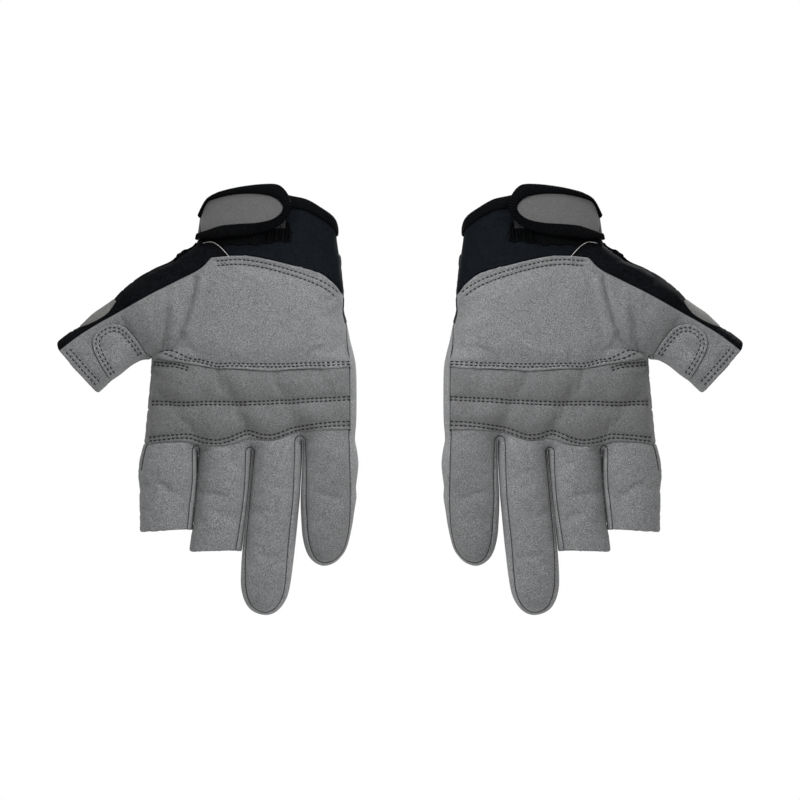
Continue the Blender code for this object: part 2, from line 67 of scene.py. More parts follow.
RING_IN = A([
    (49.17, -121, 3.6), (49.3, -130, 3.7), (49.9, -140, 3.4), (50.35, -148, 3.3), (51.0, -155, 3.3), (52.8, -173.5, 3.4), (55.3, -193, 2.5),
    (57.8, -201.2, 2.2), (62.4, -206.7, 1.8), (68.0, -208.4, 1.6),
])
RING_OUT = A([
    (68.0, -208.4, 1.6), (74.3, -206.4, 2.1), (78.1, -201.8, 2.5), (80.1, -194.4, 2.6), (80.1, -185, 2.3), (79.4, -175, 1.9),
    (78.35, -165, 1.5), (76.6, -150, 1.2), (75.12, -135, 1.2), (74.28, -126, 1.2),
])
MIDDLE_IN = A([(74.32, -126, 3.2), (75.4, -137.5, 2.4), (76.64, -150, 2.1), (78.22, -163.5, 2.4), (79.68, -175.9, 2.9)])
MIDDLE_OUT = A([(106.0, -175.9, 1.3), (105.3, -169.5, 1.1), (104.43, -164.5, 0.9), (103.13, -152.5, 0.9), (101.98, -140, 0.9), (101.58, -126, 0.9)])
INDEX_IN = A([(101.62, -126, 2.65), (102.02, -140, 2.3), (103.17, -152.5, 2.5), (104.46, -165.2, 2.5)])
INDEX_OUT = A([(130.9, -166.2), (131.0, -158), (131.2, -150), (131.0, -145), (131.6, -138.5), (131.1, -131), (129.7, -125), (128.3, -120)])
WEB_SIDE = A([(128.3, -120), (127.4, -110), (126.1, -97.5), (125.2, -87.5), (124.6, -80.2)])
THUMB_IN = A([(125.3, -78.5), (129.1, -79.3), (134.8, -82.2), (140.6, -86.8), (145.2, -90.2), (152.0, -96.3)])
THUMB_OUT = A([
    (172.5, -72.3), (171.6, -70.3), (166.3, -66.2), (160.4, -62.6), (154.3, -56.9), (148.5, -52.9), (143.4, -49.2), (139.4, -44.8), (131, -38.3),
    (123.0, -33.8), (115.2, -30.2), (109.9, -25.8), (103.4, -22.5), (101.6, -20.4), (99.6, -18.4),
])
THUMB_SEAM = A([
    (170.8, -75.0), (159.6, -66.7), (148.3, -60), (134.1, -52.3), (122.8, -46.2), (108.5, -39.1), (98.5, -34), (94.2, -29.8),
])
CUFF_SEAM = A([
    (93.8, -29.2), (84.5, -28.3), (74.5, -28.5), (64.2, -30.5), (54, -33), (46.5, -35), (39.7, -37.2), (33.5, -42), (29.8, -47),
])
HEEL_EDGE = A([(25.2, -84), (49, -84.6), (67.5, -85.2), (90, -84.2), (105, -82.1), (112.5, -80.3), (119, -79.3), (124.4, -79.2)])
PATCH_EDGE = A([
    (127, -121.8), (116.5, -121), (107, -120.9), (94, -123), (83.5, -121.8), (75, -119), (64, -120), (50.5, -115.8),
    (37.5, -115), (26, -114.8),
])
U_PATCH = A([
    (144.8, -90.3), (150.3, -80.8), (153.5, -73.4), (152.9, -68.2), (149.2, -64.2), (144, -62.2), (138.2, -63.3), (133.7, -67.7),
    (129.7, -73.4), (126.6, -79.4),
])
NOTCH_1 = A([(104.27, -126), (104.1, -124.6), (103.5, -123.3), (102.4, -122.6), (101.3, -123.0), (100.8, -124.3), (100.68, -126)])
NOTCH_2 = A([(77.52, -126), (77.2, -124.9), (76.4, -124.05), (75.3, -123.7), (74.1, -124.0), (73.35, -124.9), (73.08, -126)])
NOTCH_3 = A([(52.77, -121), (52.5, -119.8), (51.7, -118.6), (50.2, -118.05), (48.7, -118.5), (47.8, -119.6), (47.43, -121)])
CUFF_RIM = A([
    (31.8, -13), (33.6, -8.6), (40, -4.1), (46.5, -0.6), (55, 1.2), (62, 3.2), (69, 3.8), (77.5, 3), (89, 1), (94, -2.5), (96.5, -8),
])
BACK_RIM = A([(31.8, -13), (36, -8), (48, -4), (63, -2.5), (80, -3), (92, -5), (96.5, -8)])
STRAP_OUTER = A([
    (99.8, -6.0), (98.0, -2.9), (95.2, 1.2), (91.6, 3.3), (87.7, 4.6), (79.5, 6.3), (69.3, 7.5), (61.7, 7.5), (58, 5.5), (55.2, 1.5),
    (54, -3), (54.3, -6), (56, -9), (59.1, -12.5), (64.2, -15.2), (74.4, -17.8), (84.6, -18.6), (94.8, -19.5), (99.8, -19.2),
])
STRAP_INNER = A([
    (99.8, -8.8), (99.0, -6.6), (97.6, -3.4), (96, -1.3), (93.8, -0.2), (84.6, 2), (74.4, 2.7), (66.5, 1.9), (62, 0.4), (59.6, -1.6),
    (58.3, -3.8), (58.7, -5.8), (60.1, -7.7), (64.2, -10.2), (71.8, -11.8), (82, -12.4), (89.7, -13.2), (95.4, -15), (99.8, -16.2),
])

# folds in the palm: amplitude, width, and the line each one follows
FOLDS = [
    (-1.0, 1.5, A([(101.2, -40), (103.4, -50.5), (106.4, -59.5), (109, -66.5), (111, -71)])),
    (-0.6, 1.7, A([(94.5, -39), (97.3, -50.5), (99.5, -60.5), (101.5, -68.5)])),
    (-0.5, 3.4, A([(87, -35), (91, -47), (94, -58)])),
    (0.6, 2.3, A([(112, -56), (111.8, -64), (114, -70.5)])),
    (0.5, 2.0, A([(98.6, -44), (101.4, -55), (104.8, -66)])),
    (-0.85, 1.4, A([(125, -77.2), (117.5, -75.9), (112.0, -74.3)])),
    (-0.5, 1.3, A([(123.5, -74.0), (118, -72.8), (113.5, -70.6)])),
    (-0.4, 2.8, A([(118.5, -71), (117, -65), (117.3, -58)])),
    (0.5, 1.5, A([(122, -78.2), (113, -77.9), (104, -77.5)])),
    (-0.3, 3.4, A([(123, -50), (119, -60), (117.5, -70)])),
    (0.45, 4.5, A([(90, -40), (88, -55), (92, -68)])),
    (-0.35, 4.0, A([(76, -42), (73, -58), (77, -70)])),
    (0.3, 5.0, A([(124, -52), (121.5, -60), (120.5, -68)])),
    (-0.3, 4.0, A([(46, -48), (49, -62), (45, -74)])),
    (0.7, 4.6, A([(108, -90), (106.5, -95)])),
    (0.65, 4.4, A([(75, -104), (71.5, -109)])),
    (0.65, 4.4, A([(48, -102), (45.5, -107)])),
    (0.4, 4.6, A([(84, -89), (80, -94)])),
    (-0.75, 3.3, A([(92, -88), (86, -96), (80.5, -105), (77, -114)])),
    (-0.65, 3.2, A([(63, -89), (57.5, -98), (53.5, -106), (51, -112)])),
    (-0.6, 3.3, A([(121, -88), (118, -98), (111, -106), (104, -113)])),
    (-0.45, 3.0, A([(38, -89), (35, -97), (33, -107)])),
    (0.4, 3.6, A([(96, -104), (92, -110)])),
    (-0.25, 2.4, A([(130, -142), (124, -144), (118, -143)])),
    (-0.25, 2.2, A([(104.5, -147), (109, -148.5), (114, -147.5)])),
    (0.45, 4.5, A([(110, -132), (109.5, -138)])),
    (-0.4, 4.2, A([(121, -128), (122, -134), (120, -139)])),
    (0.4, 4.5, A([(84, -140), (84, -148)])),
    (-0.35, 4.2, A([(96, -131), (96, -140)])),
    (0.35, 4.0, A([(58, -150), (58.5, -162)])),
    (-0.4, 4.0, A([(69, -138), (70, -150)])),
    (0.4, 4.0, A([(31, -128), (30.5, -138)])),
    (-0.4, 4.0, A([(43, -133), (42.5, -145)])),
    (-0.4, 2.6, A([(102, -146), (96, -148), (91, -147)])),
    (-0.35, 2.4, A([(77, -158), (82, -159.5), (88, -158.5)])),
    (-0.4, 2.6, A([(77, -155), (71, -157), (66, -156)])),
    (-0.35, 2.6, A([(53, -178), (58, -179.5), (64, -178.5)])),
    (-0.4, 2.6, A([(23, -147), (29, -149), (35, -148)])),
    (-0.3, 2.6, A([(48, -159), (43, -160.5), (38, -160)])),
]


# ---------------------------------------------------------------- numbers
def smooth(lo, hi, t):
    t = np.clip((np.asarray(t, float) - lo) / (hi - lo), 0, 1)
    return t * t * (3 - 2 * t)


def eased(points, blur):
    """A table of (t, value), evenly sampled and blurred, so that it has no kinks."""
    t = np.arange(-240, 40, 0.5)
    y = np.interp(t, *A(points).T)
    kernel = np.exp(-0.5 * (np.arange(-3 * blur, 3 * blur + 0.1, 0.5) / blur) ** 2)
    half = len(kernel) // 2
    y = np.convolve(np.pad(y, half, mode="edge"), kernel / kernel.sum(), mode="valid")
    return t, y


FRONT_T, FRONT_Y = eased([(-208, 4), (-165, 5), (-140, 6), (-122, 8), (-105, 11), (-85, 14), (-60, 17), (-35, 18), (10, 18)], 5)
BACK_T, BACK_Y = eased([(-208, -16), (-38, -16), (-27, -14.6), (10, -14.6)], 3)
CUFF_IN = A([(-55, 28.2), (-45, 28.5), (-33.5, 29.7), (-18, 32.0), (8, 32.4)])
CUFF_OUT = A([(-55, 108), (-30, 104.6), (-26, 103.4), (-23.5, 102.0), (-21.5, 100.3), (-18.5, 98.0), (-6, 96.2), (8, 95.8)])
HAND_OUT = A([(-95, 124.5), (-79, 125), (-62, 125), (-47, 125), (-38.5, 128), (-34.5, 122.8), (-30.5, 113), (-26.5, 107.5), (-23, 103.0), (-20, 101.2), (-18, 99.4), (8, 95.8)])
CROTCH, ALONG, ACROSS = A((124.5, -78.5)), A((0.78, -0.625)), A((0.625, 0.78))


def arc(path):
    return np.concatenate([[0], np.cumsum(np.linalg.norm(np.diff(path[:, :2], axis=0), axis=1))])


def resample(path, step, count=None):
    s = arc(path)
    n = count or max(2, int(math.ceil(s[-1] / step)) + 1)
    t = np.linspace(0, s[-1], n)
    return np.stack([np.interp(t, s, path[:, i]) for i in range(path.shape[1])], 1)


def spline(points, step, count=None):
    """A Catmull-Rom curve through points, evenly resampled. Columns after the first two ride along."""
    p = np.vstack([2 * points[0] - points[1], points, 2 * points[-1] - points[-2]])
    out = []
    for i in range(1, len(p) - 2):
        t = np.linspace(0, 1, 16, endpoint=False)[:, None]
        p0, p1, p2, p3 = p[i - 1], p[i], p[i + 1], p[i + 2]
        out.append(0.5 * (2 * p1 + (p2 - p0) * t + (2 * p0 - 5 * p1 + 4 * p2 - p3) * t**2 + (3 * p1 - p0 - 3 * p2 + p3) * t**3))
    out.append(points[-1:])
    return resample(np.vstack(out), step, count)


def normals2(path, inside):
    d = np.gradient(path[:, :2], axis=0)
    d /= np.linalg.norm(d, axis=1)[:, None]
    n = np.stack([-d[:, 1], d[:, 0]], 1)
    m = len(path) // 2
    return n if (n[m] * (A(inside) - path[m, :2])).sum() > 0 else -n


def inset(path, inside, d=None):
    d = path[:, 2] if d is None else np.full(len(path), d)
    return path[:, :2] + normals2(path, inside) * d[:, None]


def seg_dist(points, path):
    """Distance from each point to a path, in 2-D or 3-D."""
    a, d = path[:-1], np.diff(path, axis=0)
    size = np.maximum((d**2).sum(1), 1e-12)
    out = np.empty(len(points))
    for i in range(0, len(points), 3000):
        q = points[i : i + 3000, None, :] - a
        t = np.clip((q * d).sum(2) / size, 0, 1)
        out[i : i + 3000] = np.sqrt(((q - t[..., None] * d) ** 2).sum(2).min(1))
    return out


def thumb_share(p):
    r = p - CROTCH
    return smooth(-14, 6, r @ ALONG) * smooth(-8, 0, r @ ACROSS)


def front_w(p):
    k = thumb_share(p)
    return np.interp(p[:, 1], FRONT_T, FRONT_Y) * (1 - k) + 10 * k


def back_w(p):
    k = thumb_share(p)
    return np.interp(p[:, 1], BACK_T, BACK_Y) * (1 - k) - 13 * k


def relief(p):
    w = np.zeros(len(p))
    for amount, width, line in FOLDS:
        near = np.all((p > line.min(0) - 3 * width) & (p < line.max(0) + 3 * width), axis=1)
        if near.any():
            w[near] += 2.3 * amount * np.exp(-0.5 * (seg_dist(p[near], line) / width) ** 2)
    a, v = p[:, 0], p[:, 1]
    w += 0.16 * np.sin(a * 0.21 + v * 0.09 + 1.3) * np.sin(v * 0.17 - a * 0.05) + 0.1 * np.sin(a * 0.47 - v * 0.31) * np.sin(v * 0.39 + a * 0.11 + 0.8)
    return w


def back_relief(p):
    a, v = p[:, 0], p[:, 1]
    w = 0.22 * np.sin(a * 0.16 + v * 0.07) * np.sin(v * 0.13 - a * 0.04 + 0.7) + 0.12 * np.sin(a * 0.41 + v * 0.23) * np.sin(v * 0.33 - a * 0.17)
    for centre in (115.4, 87.9, 61.8, 35.2):
        lean = (a - centre + 0.06 * (v + 120)) if centre != 35.2 else a - centre
        w += 0.7 * np.exp(-0.5 * (lean / 5.5) ** 2) * np.exp(-0.5 * ((v + 112) / 9) ** 2)
    return w


def groove(p, lines):
    """The furrows along seams and stitch rows: each is (depth, width, path)."""
    w = np.zeros(len(p))
    for depth, width, line in lines:
        near = np.all((p > line.min(0) - 3 * width) & (p < line.max(0) + 3 * width), axis=1)
        if near.any():
            w[near] = np.minimum(w[near], -depth * np.exp(-((seg_dist(p[near], line) / width) ** 2)))
    return w


class Skin:
    """The stuffed form of the glove: full thickness inside, rounded off towards its walls, and the wrist's section at the top."""

    def __init__(self, walls):
        self.walls = [resample(w[:, :2], 1.2) for w in walls]
        self.grooves = {1: [], -1: []}

    def radius(self, p, side):
        low, high = (10.0, 16.0) if side > 0 else (7.0, 8.0)
        r = low + (high - low) * smooth(-128, -105, p[:, 1])
        k = thumb_share(p)
        return r * (1 - k) + (12.0 if side > 0 else 8.0) * k

    def distance(self, p):
        return np.min([seg_dist(p, wall) for wall in self.walls], axis=0)

    def w(self, p, side):
        f = np.sqrt(np.maximum(1 - (1 - np.clip(self.distance(p) / self.radius(p, side), 0, 1)) ** 2, 0))
        top, low = front_w(p), back_w(p)
        mid = (top + low) / 2
        w = mid + f * ((top if side > 0 else low) - mid)
        k = smooth(-48, -27, p[:, 1])
        if (k > 0).any():
            inner, outer = np.interp(p[:, 1], *CUFF_IN.T), np.interp(p[:, 1], *HAND_OUT.T)
            x = np.clip(np.abs(p[:, 0] - (inner + outer) / 2) / ((outer - inner) / 2), 0, 1)
            w = (1 - k) * w + k * (2 + side * 16 * (1 - x**2.6) ** (1 / 2.6))
        soft = smooth(0.05, 0.75, f)
        w = w + (relief(p) if side > 0 else -back_relief(p)) * soft
        if side > 0:
            for depth, width, path in puffs:
                w = w + groove(p, [(depth, width, path)])
        return w + side * groove(p, self.grooves[side])

    def mid(self, p):
        k = smooth(-48, -27, p[:, 1])
        return (1 - k) * (front_w(p) + back_w(p)) / 2 + k * 2

    def normals(self, p, side):
        h = 0.3
        wa = (self.w(p + (h, 0), side) - self.w(p - (h, 0), side)) / (2 * h)
        wv = (self.w(p + (0, h), side) - self.w(p - (0, h), side)) / (2 * h)
        n = np.column_stack([-wa, -wv, np.ones(len(p))]) * side
        return n / np.linalg.norm(n, axis=1)[:, None]


# ---------------------------------------------------------------- meshes, in glove millimetres: (points, triangles)
def area_normals(v, f):
    n = np.zeros_like(v)
    face = np.cross(v[f[:, 1]] - v[f[:, 0]], v[f[:, 2]] - v[f[:, 0]])
    for i in range(3):
        np.add.at(n, f[:, i], face)
    return n / np.maximum(np.linalg.norm(n, axis=1), 1e-12)[:, None]


def weld(meshes, within=0.03):
    """Meshes joined, with the points that coincide made one."""
    v, f, base = [], [], 0
    for points, faces in meshes:
        v.append(points)
        f.append(faces + base)
        base += len(points)
    v, f = np.vstack(v), np.vstack(f)
    bm = bmesh.new()
    verts = [bm.verts.new(p) for p in v]
    bm.verts.ensure_lookup_table()
    for tri in f:
        if len(set(tri)) == 3:
            try:
                bm.faces.new([verts[i] for i in tri])
            except ValueError:
                pass
    bmesh.ops.remove_doubles(bm, verts=bm.verts, dist=within)
    loose = [x for x in bm.verts if not x.link_faces]
    bmesh.ops.delete(bm, geom=loose, context="VERTS")
    bm.verts.index_update()
    v = A([tuple(x.co) for x in bm.verts])
    f = A([[x.index for x in t.verts] for t in bm.faces])
    bm.free()
    return v, f


def grid(rows, closed=False, closed_v=False):
    """Triangles over a grid of points, rows[i][j]."""
    n, m = rows.shape[:2]
    index = np.arange(n * m).reshape(n, m)
    if closed:
        index = np.vstack([index, index[:1]])
    if closed_v:
        index = np.hstack([index, index[:, :1]])
    a, b, c, d = index[:-1, :-1], index[1:, :-1], index[1:, 1:], index[:-1, 1:]
    f = np.stack([np.stack([a, b, c], -1), np.stack([a, c, d], -1)], 2).reshape(-1, 3)
    return rows.reshape(-1, 3), f


def face_out(v, f, core):
    face = np.cross(v[f[:, 1]] - v[f[:, 0]], v[f[:, 2]] - v[f[:, 0]])
    middle = v[f].mean(1) - A(core, float)
    return f if (face * middle).sum() > 0 else f[:, ::-1]


def inside_of(p, ring):
    a, b = ring, np.roll(ring, -1, axis=0)
    hit = np.zeros(len(p), bool)
    for (x0, y0), (x1, y1) in zip(a, b):
        if y0 == y1:
            continue
        cross = ((p[:, 1] < y0) != (p[:, 1] < y1)) & (p[:, 0] < x0 + (x1 - x0) * (p[:, 1] - y0) / (y1 - y0))
        hit ^= cross
    return hit


def region(ring, lines=(), step=1.35, rings=(0.4, 0.9, 1.6), offsets=(-1.0, -0.5, 0.0, 0.5, 1.0)):
    """A flat panel's triangles: its outline, rows of points beside the outline and the sewn lines, and an even mesh between."""
    keep = np.linalg.norm(ring - np.roll(ring, 1, axis=0), axis=1) > 0.05
    ring = ring[keep]
    area = 0.5 * np.sum(ring[:, 0] * np.roll(ring[:, 1], -1) - np.roll(ring[:, 0], -1) * ring[:, 1])
    if area < 0:
        ring = ring[::-1]
    loop = np.vstack([ring, ring[:1]])
    d = np.roll(ring, -1, axis=0) - np.roll(ring, 1, axis=0)
    n = np.stack([-d[:, 1], d[:, 0]], 1) / np.linalg.norm(d, axis=1)[:, None]
    sets = [ring]
    for depth in rings:
        p = ring + n * depth
        p = p[inside_of(p, ring)]
        sets.append(p[seg_dist(p, loop) > depth * 0.9])
    for line in lines:
        line = resample(line[:, :2], 1.0)
        m = normals2(line, line[0] + 1)
        for off in offsets:
            p = line + m * off
            p = p[inside_of(p, ring)]
            if len(p):
                sets.append(p[seg_dist(p, loop) > 0.45])
    low, high = ring.min(0), ring.max(0)
    rows = np.arange(low[1], high[1], step * 0.866)
    hexes = np.vstack([np.column_stack([np.arange(low[0] + (i % 2) * step / 2, high[0], step), np.full(len(np.arange(low[0] + (i % 2) * step / 2, high[0], step)), y)]) for i, y in enumerate(rows)])
    hexes = hexes[inside_of(hexes, ring)]
    hexes = hexes[seg_dist(hexes, loop) > (rings[-1] if rings else 0) + 0.5 * step]
    for line in lines:
        hexes = hexes[seg_dist(hexes, resample(line[:, :2], 1.5)) > offsets[-1] + 0.5 * step]
    sets.append(hexes)
    points, cells = [], {}
    for k, batch in enumerate(sets):
        near = 0.3 if k else 0.0
        for p in batch:
            cx, cy = int(p[0] / 0.4), int(p[1] / 0.4)
            if near and any(
                (p[0] - q[0]) ** 2 + (p[1] - q[1]) ** 2 < near**2 for x in (-1, 0, 1) for y in (-1, 0, 1) for q in cells.get((cx + x, cy + y), ())
            ):
                continue
            cells.setdefault((cx, cy), []).append(p)
            points.append(p)
    m = len(ring)
    edges = [(i, (i + 1) % m) for i in range(m)]
    out = delaunay_2d_cdt([Vector((float(p[0]), float(p[1]))) for p in points], edges, [], 0, 1e-6)
    v = A([tuple(p) for p in out[0]])
    f = A([t for t in out[2] if len(t) == 3])
    f = f[inside_of(v[f].mean(1), ring)]
    e1, e2 = v[f[:, 1]] - v[f[:, 0]], v[f[:, 2]] - v[f[:, 0]]
    cross = e1[:, 0] * e2[:, 1] - e1[:, 1] * e2[:, 0]
    f = f[np.abs(cross) > 1e-5]
    cross = cross[np.abs(cross) > 1e-5]
    f[cross < 0] = f[cross < 0][:, ::-1]
    return v, f


def band(skin, wall, front, back, core, n_front=7, n_back=5):
    """A side wall: from the path back on the back of the form, out to the wall and round to the path front on the palm side."""

    def steps(path, side, n):
        far = np.linalg.norm(path - wall, axis=1) / skin.radius(wall, side)
        end = np.arccos(np.clip(1 - far, 0, 1))
        rows = []
        for j in range(1, n + 1):
            g = (1 - np.cos(end * j / n)) / np.maximum(1 - np.cos(end), 1e-9)
            p = wall + (path - wall) * g[:, None]
            rows.append(np.column_stack([p, skin.w(p, side)]))
        return rows

    rows = steps(back, -1, n_back)[::-1] + [np.column_stack([wall, skin.mid(wall)])] + steps(front, 1, n_front)
    v, f = grid(np.stack(rows, 1))
    return v, face_out(v, f, core)


def panel(skin, ring, side=1, lines=(), step=1.3):
    v, f = region(ring, lines, step)
    return np.column_stack([v, skin.w(v, side)]), (f if side > 0 else f[:, ::-1])


def shell(v, f, thick, lift=0.0, core=None, round_edge=0.32):
    """A sheet of fabric: the surface, moved out by lift, then given thickness inwards, with a rounded cut edge."""
    if core is not None:
        f = face_out(v, f, core)
    n = area_normals(v, f)
    outer = v + n * np.reshape(lift, (-1, 1))
    n = area_normals(outer, f)
    inner = outer - n * thick
    directed = np.vstack([f[:, [0, 1]], f[:, [1, 2]], f[:, [2, 0]]])
    key = np.sort(directed, axis=1)
    _, first, count = np.unique(key, axis=0, return_index=True, return_counts=True)
    rim = directed[first[count == 1]]
    k = len(v)
    points, faces = [outer, inner], [f, f[:, ::-1] + k]
    if len(rim):
        out = np.zeros_like(v)
        edge = outer[rim[:, 1]] - outer[rim[:, 0]]
        push = np.cross(edge, n[rim[:, 0]] + n[rim[:, 1]])
        push /= np.maximum(np.linalg.norm(push, axis=1), 1e-9)[:, None]
        np.add.at(out, rim[:, 0], push)
        np.add.at(out, rim[:, 1], push)
        on_rim = np.unique(rim)
        out[on_rim] /= np.maximum(np.linalg.norm(out[on_rim], axis=1), 1e-9)[:, None]
        place = np.full(k, -1)
        place[on_rim] = np.arange(len(on_rim))
        points[0] = outer.copy()
        points[0][on_rim] -= n[on_rim] * thick * 0.12
        points[1] = inner.copy()
        points[1][on_rim] += n[on_rim] * thick * 0.12
        mid = (outer[on_rim] + inner[on_rim]) / 2 + out[on_rim] * thick * round_edge
        points.append(mid)
        i, j = rim[:, 0], rim[:, 1]
        mi, mj = 2 * k + place[i], 2 * k + place[j]
        faces += [np.stack([j, i, mi], 1), np.stack([j, mi, mj], 1), np.stack([mj, mi, i + k], 1), np.stack([mj, i + k, j + k], 1)]
    return np.vstack(points), np.vstack(faces)


def tube(path, radius, sides=7, flat=1.0, up=None):
    """A thread or cord along a path, closed at both ends."""
    t = np.gradient(path, axis=0)
    t /= np.maximum(np.linalg.norm(t, axis=1), 1e-9)[:, None]
    up = np.broadcast_to(A((0, 0, 1.0)) if up is None else up, path.shape)
    b = np.cross(t, up)
    b /= np.maximum(np.linalg.norm(b, axis=1), 1e-9)[:, None]
    n = np.cross(b, t)
    r = np.broadcast_to(radius, len(path))[:, None, None]
    angle = np.linspace(0, 2 * math.pi, sides, endpoint=False)
    ring = b[:, None, :] * np.cos(angle)[None, :, None] + n[:, None, :] * np.sin(angle)[None, :, None] * flat
    rows = path[:, None, :] + ring * r
    v, f = grid(rows, closed_v=True)
    k = len(v)
    v = np.vstack([v, path[:1], path[-1:]])
    start, end = np.arange(sides), np.arange(sides) + (len(path) - 1) * sides
    f = np.vstack([f, np.stack([np.roll(start, -1), start, np.full(sides, k)], 1), np.stack([end, np.roll(end, -1), np.full(sides, k + 1)], 1)])
    face = np.cross(v[f[:, 1]] - v[f[:, 0]], v[f[:, 2]] - v[f[:, 0]])
    side = v[f].mean(1) - np.vstack([path[np.minimum(f[:, 0] // sides, len(path) - 1)]])
    return v, (f if (face * side).sum() > 0 else f[:, ::-1])


def join(meshes):
    v, f, base = [], [], 0
    for points, faces in meshes:
        v.append(points)
        f.append(faces + base)
        base += len(points)
    return np.vstack(v), np.vstack(f)


def stitches(place, path, pitch=2.2, length=1.55, radius=0.37, sink=-0.03):
    """A row of single stitches. place(points, lift) gives points on the fabric."""
    s = arc(path)
    count = max(2, int(round((s[-1] - length) / pitch)) + 1)
    centres = np.linspace(length / 2, s[-1] - length / 2, count)
    t = np.linspace(-1, 1, 7)
    at = centres[:, None] + t[None, :] * length / 2
    p = np.column_stack([np.interp(at.ravel(), s, path[:, 0]), np.interp(at.ravel(), s, path[:, 1])])
    rise = np.tile(0.2 * (1 - t**2) - 0.3 * t**4 - sink, count)
    points, up = place(p, rise)
    r = radius * np.sqrt(np.maximum(1 - (0.96 * t) ** 4, 0.05))
    out = []
    for i in range(count):
        cut = slice(i * 7, i * 7 + 7)
        out.append(tube(points[cut], r, 6, 0.8, up[cut]))
    return join(out)


# ---------------------------------------------------------------- the form's walls and seams
def col(path, d):
    return np.column_stack([path[:, :2], np.full(len(path), d) if np.isscalar(d) else d])


def between(path, low, high):
    return path[(path[:, 1] >= low) & (path[:, 1] <= high)]


def slit_top(p, q, r):
    """A half circle over a finger slit, from p over q to r."""
    p, q, r = A(p), A(q), A(r)
    t = np.linspace(0, math.pi, 11)
    centre, half = (p + r) / 2, (p - r) / 2
    out = np.zeros((11, 3))
    out[:, 0] = centre[0] + half[0] * np.cos(t)
    out[:, 1] = centre[1] + (q[1] - centre[1]) * np.sin(t)
    out[:, 2] = np.interp(t, [0, math.pi / 2, math.pi], [p[2], q[2], r[2]])
    return out


whole = spline(np.vstack([LITTLE_SIDE, LITTLE_GAP[1:]]), 1.0)
tip = int(np.argmin(whole[:, 1]))
little, little_gap = whole[: tip + 1], whole[tip:]
whole = spline(np.vstack([RING_IN, RING_OUT[1:]]), 1.0)
tip = int(np.argmin(whole[:, 1]))
ring_in, ring_out = whole[: tip + 1], whole[tip:]
u3 = slit_top((49.13, -121, 1.7), (49.15, -120.9, 2.5), (49.17, -121, 3.6))
u2 = slit_top((74.32, -126, 3.2), (74.3, -125.9, 2.0), (74.28, -126, 1.2))
u1 = slit_top((101.62, -126, 2.65), (101.6, -125.9, 2.5), (101.58, -126, 0.9))
little_loop = np.vstack([little_gap[::-1], little[::-1][1:]])  # from the slit's top round the tip and up the side
little_all = np.vstack([u3[::-1], little_loop[1:]])  # the slit's top belongs to the little finger's side strip
ring_all = np.vstack([ring_out[::-1], ring_in[::-1][1:]])  # top of the outer side, tip, top of the inner side
middle_in = np.vstack([spline(MIDDLE_IN, 1.0)[::-1], u2[1:]])  # from the cut end up, and over the slit's top
index_in = np.vstack([spline(INDEX_IN, 1.0)[::-1], u1[1:]])
middle_out = spline(MIDDLE_OUT, 1.0)
middle_out[:, 2] = 0.9 + 1.7 * smooth(-126, -132, middle_out[:, 1])
web = col(spline(np.vstack([INDEX_OUT, WEB_SIDE[1:], [(124.5, -77)]]), 1.0), 2.6)  # from the index's cut end up to the crotch
thumb_in = col(spline(THUMB_IN, 1.0), 2.6)
thumb_out = spline(THUMB_OUT, 1.0)
thumb_seam = spline(THUMB_SEAM, 1.0, len(thumb_out))

skin = Skin([np.vstack([little[:, :2], little_gap[1:, :2], u3[1:, :2], ring_in[1:, :2], ring_out[1:, :2], u2[::-1][1:, :2], spline(MIDDLE_IN, 1.0)[1:, :2]]),
             np.vstack([middle_out[:, :2], u1[::-1][1:, :2], spline(INDEX_IN, 1.0)[1:, :2]]),
             np.vstack([spline(np.vstack([INDEX_OUT, WEB_SIDE[1:]]), 1.0), thumb_in[1:, :2]]),
             thumb_out])

def topped(front, notch, first=False):
    """A side strip's seam, with its run over the slit's top as the given curve."""
    top = spline(notch, 1.0, len(u1))
    return np.vstack([top, front[len(u1):]]) if first else np.vstack([front[: -len(u1)], top])


CENTRE = {"index": (117, -145), "middle": (90, -148), "ring": (65, -165), "little": (35, -150)}
index_front, index_rear = topped(inset(index_in, CENTRE["index"]), NOTCH_1), inset(index_in, CENTRE["index"], 1.6)
middle_front, middle_rear = topped(inset(middle_in, CENTRE["middle"]), NOTCH_2), inset(middle_in, CENTRE["middle"], 1.6)
mout_front, mout_rear = inset(middle_out, CENTRE["middle"]), inset(middle_out, CENTRE["middle"], 1.6)
ring_front, ring_rear = inset(ring_all, CENTRE["ring"]), inset(ring_all, CENTRE["ring"], 1.6)
little_front, little_rear = topped(inset(little_all, CENTRE["little"]), NOTCH_3, True), inset(little_all, CENTRE["little"], 1.6)
web_front, web_rear = inset(web, (75, -110)), inset(web, (75, -110), 1.6)
thumb_in_front, thumb_in_rear = inset(thumb_in, (150, -74)), inset(thumb_in, (150, -74), 1.7)
thumb_out_rear = inset(col(thumb_out, 1.7), (140, -65))
C1 = len(index_in) - 1 - len(u1) // 2
C2 = len(middle_in) - 1 - len(u2) // 2
C3 = len(u3) // 2
R1, R2, R3 = index_rear[C1], middle_rear[C2], little_rear[C3]
side_from = int(np.argmin(little_all[:, 1])) + 4  # the little finger's outer side starts after its tip


def line(p, q, step=1.0):
    p, q = A(p, float), A(q, float)
    n = max(2, int(math.ceil(np.linalg.norm(q - p) / step)) + 1)
    return p + (q - p) * np.linspace(0, 1, n)[:, None]


def chain(*parts):
    """One closed outline from pieces of path, with straight runs between pieces that don't touch."""
    out = [parts[0]]
    for p in list(parts[1:]) + [parts[0]]:
        gap = line(out[-1][-1], p[0])[1:-1] if np.linalg.norm(out[-1][-1] - p[0]) > 1.5 else np.zeros((0, 2))
        out += [gap, p]
    return np.vstack(out[:-1])


def edge_v(edge, a):
    order = np.argsort(edge[:, 0])
    return np.interp(a, edge[order, 0], edge[order, 1])


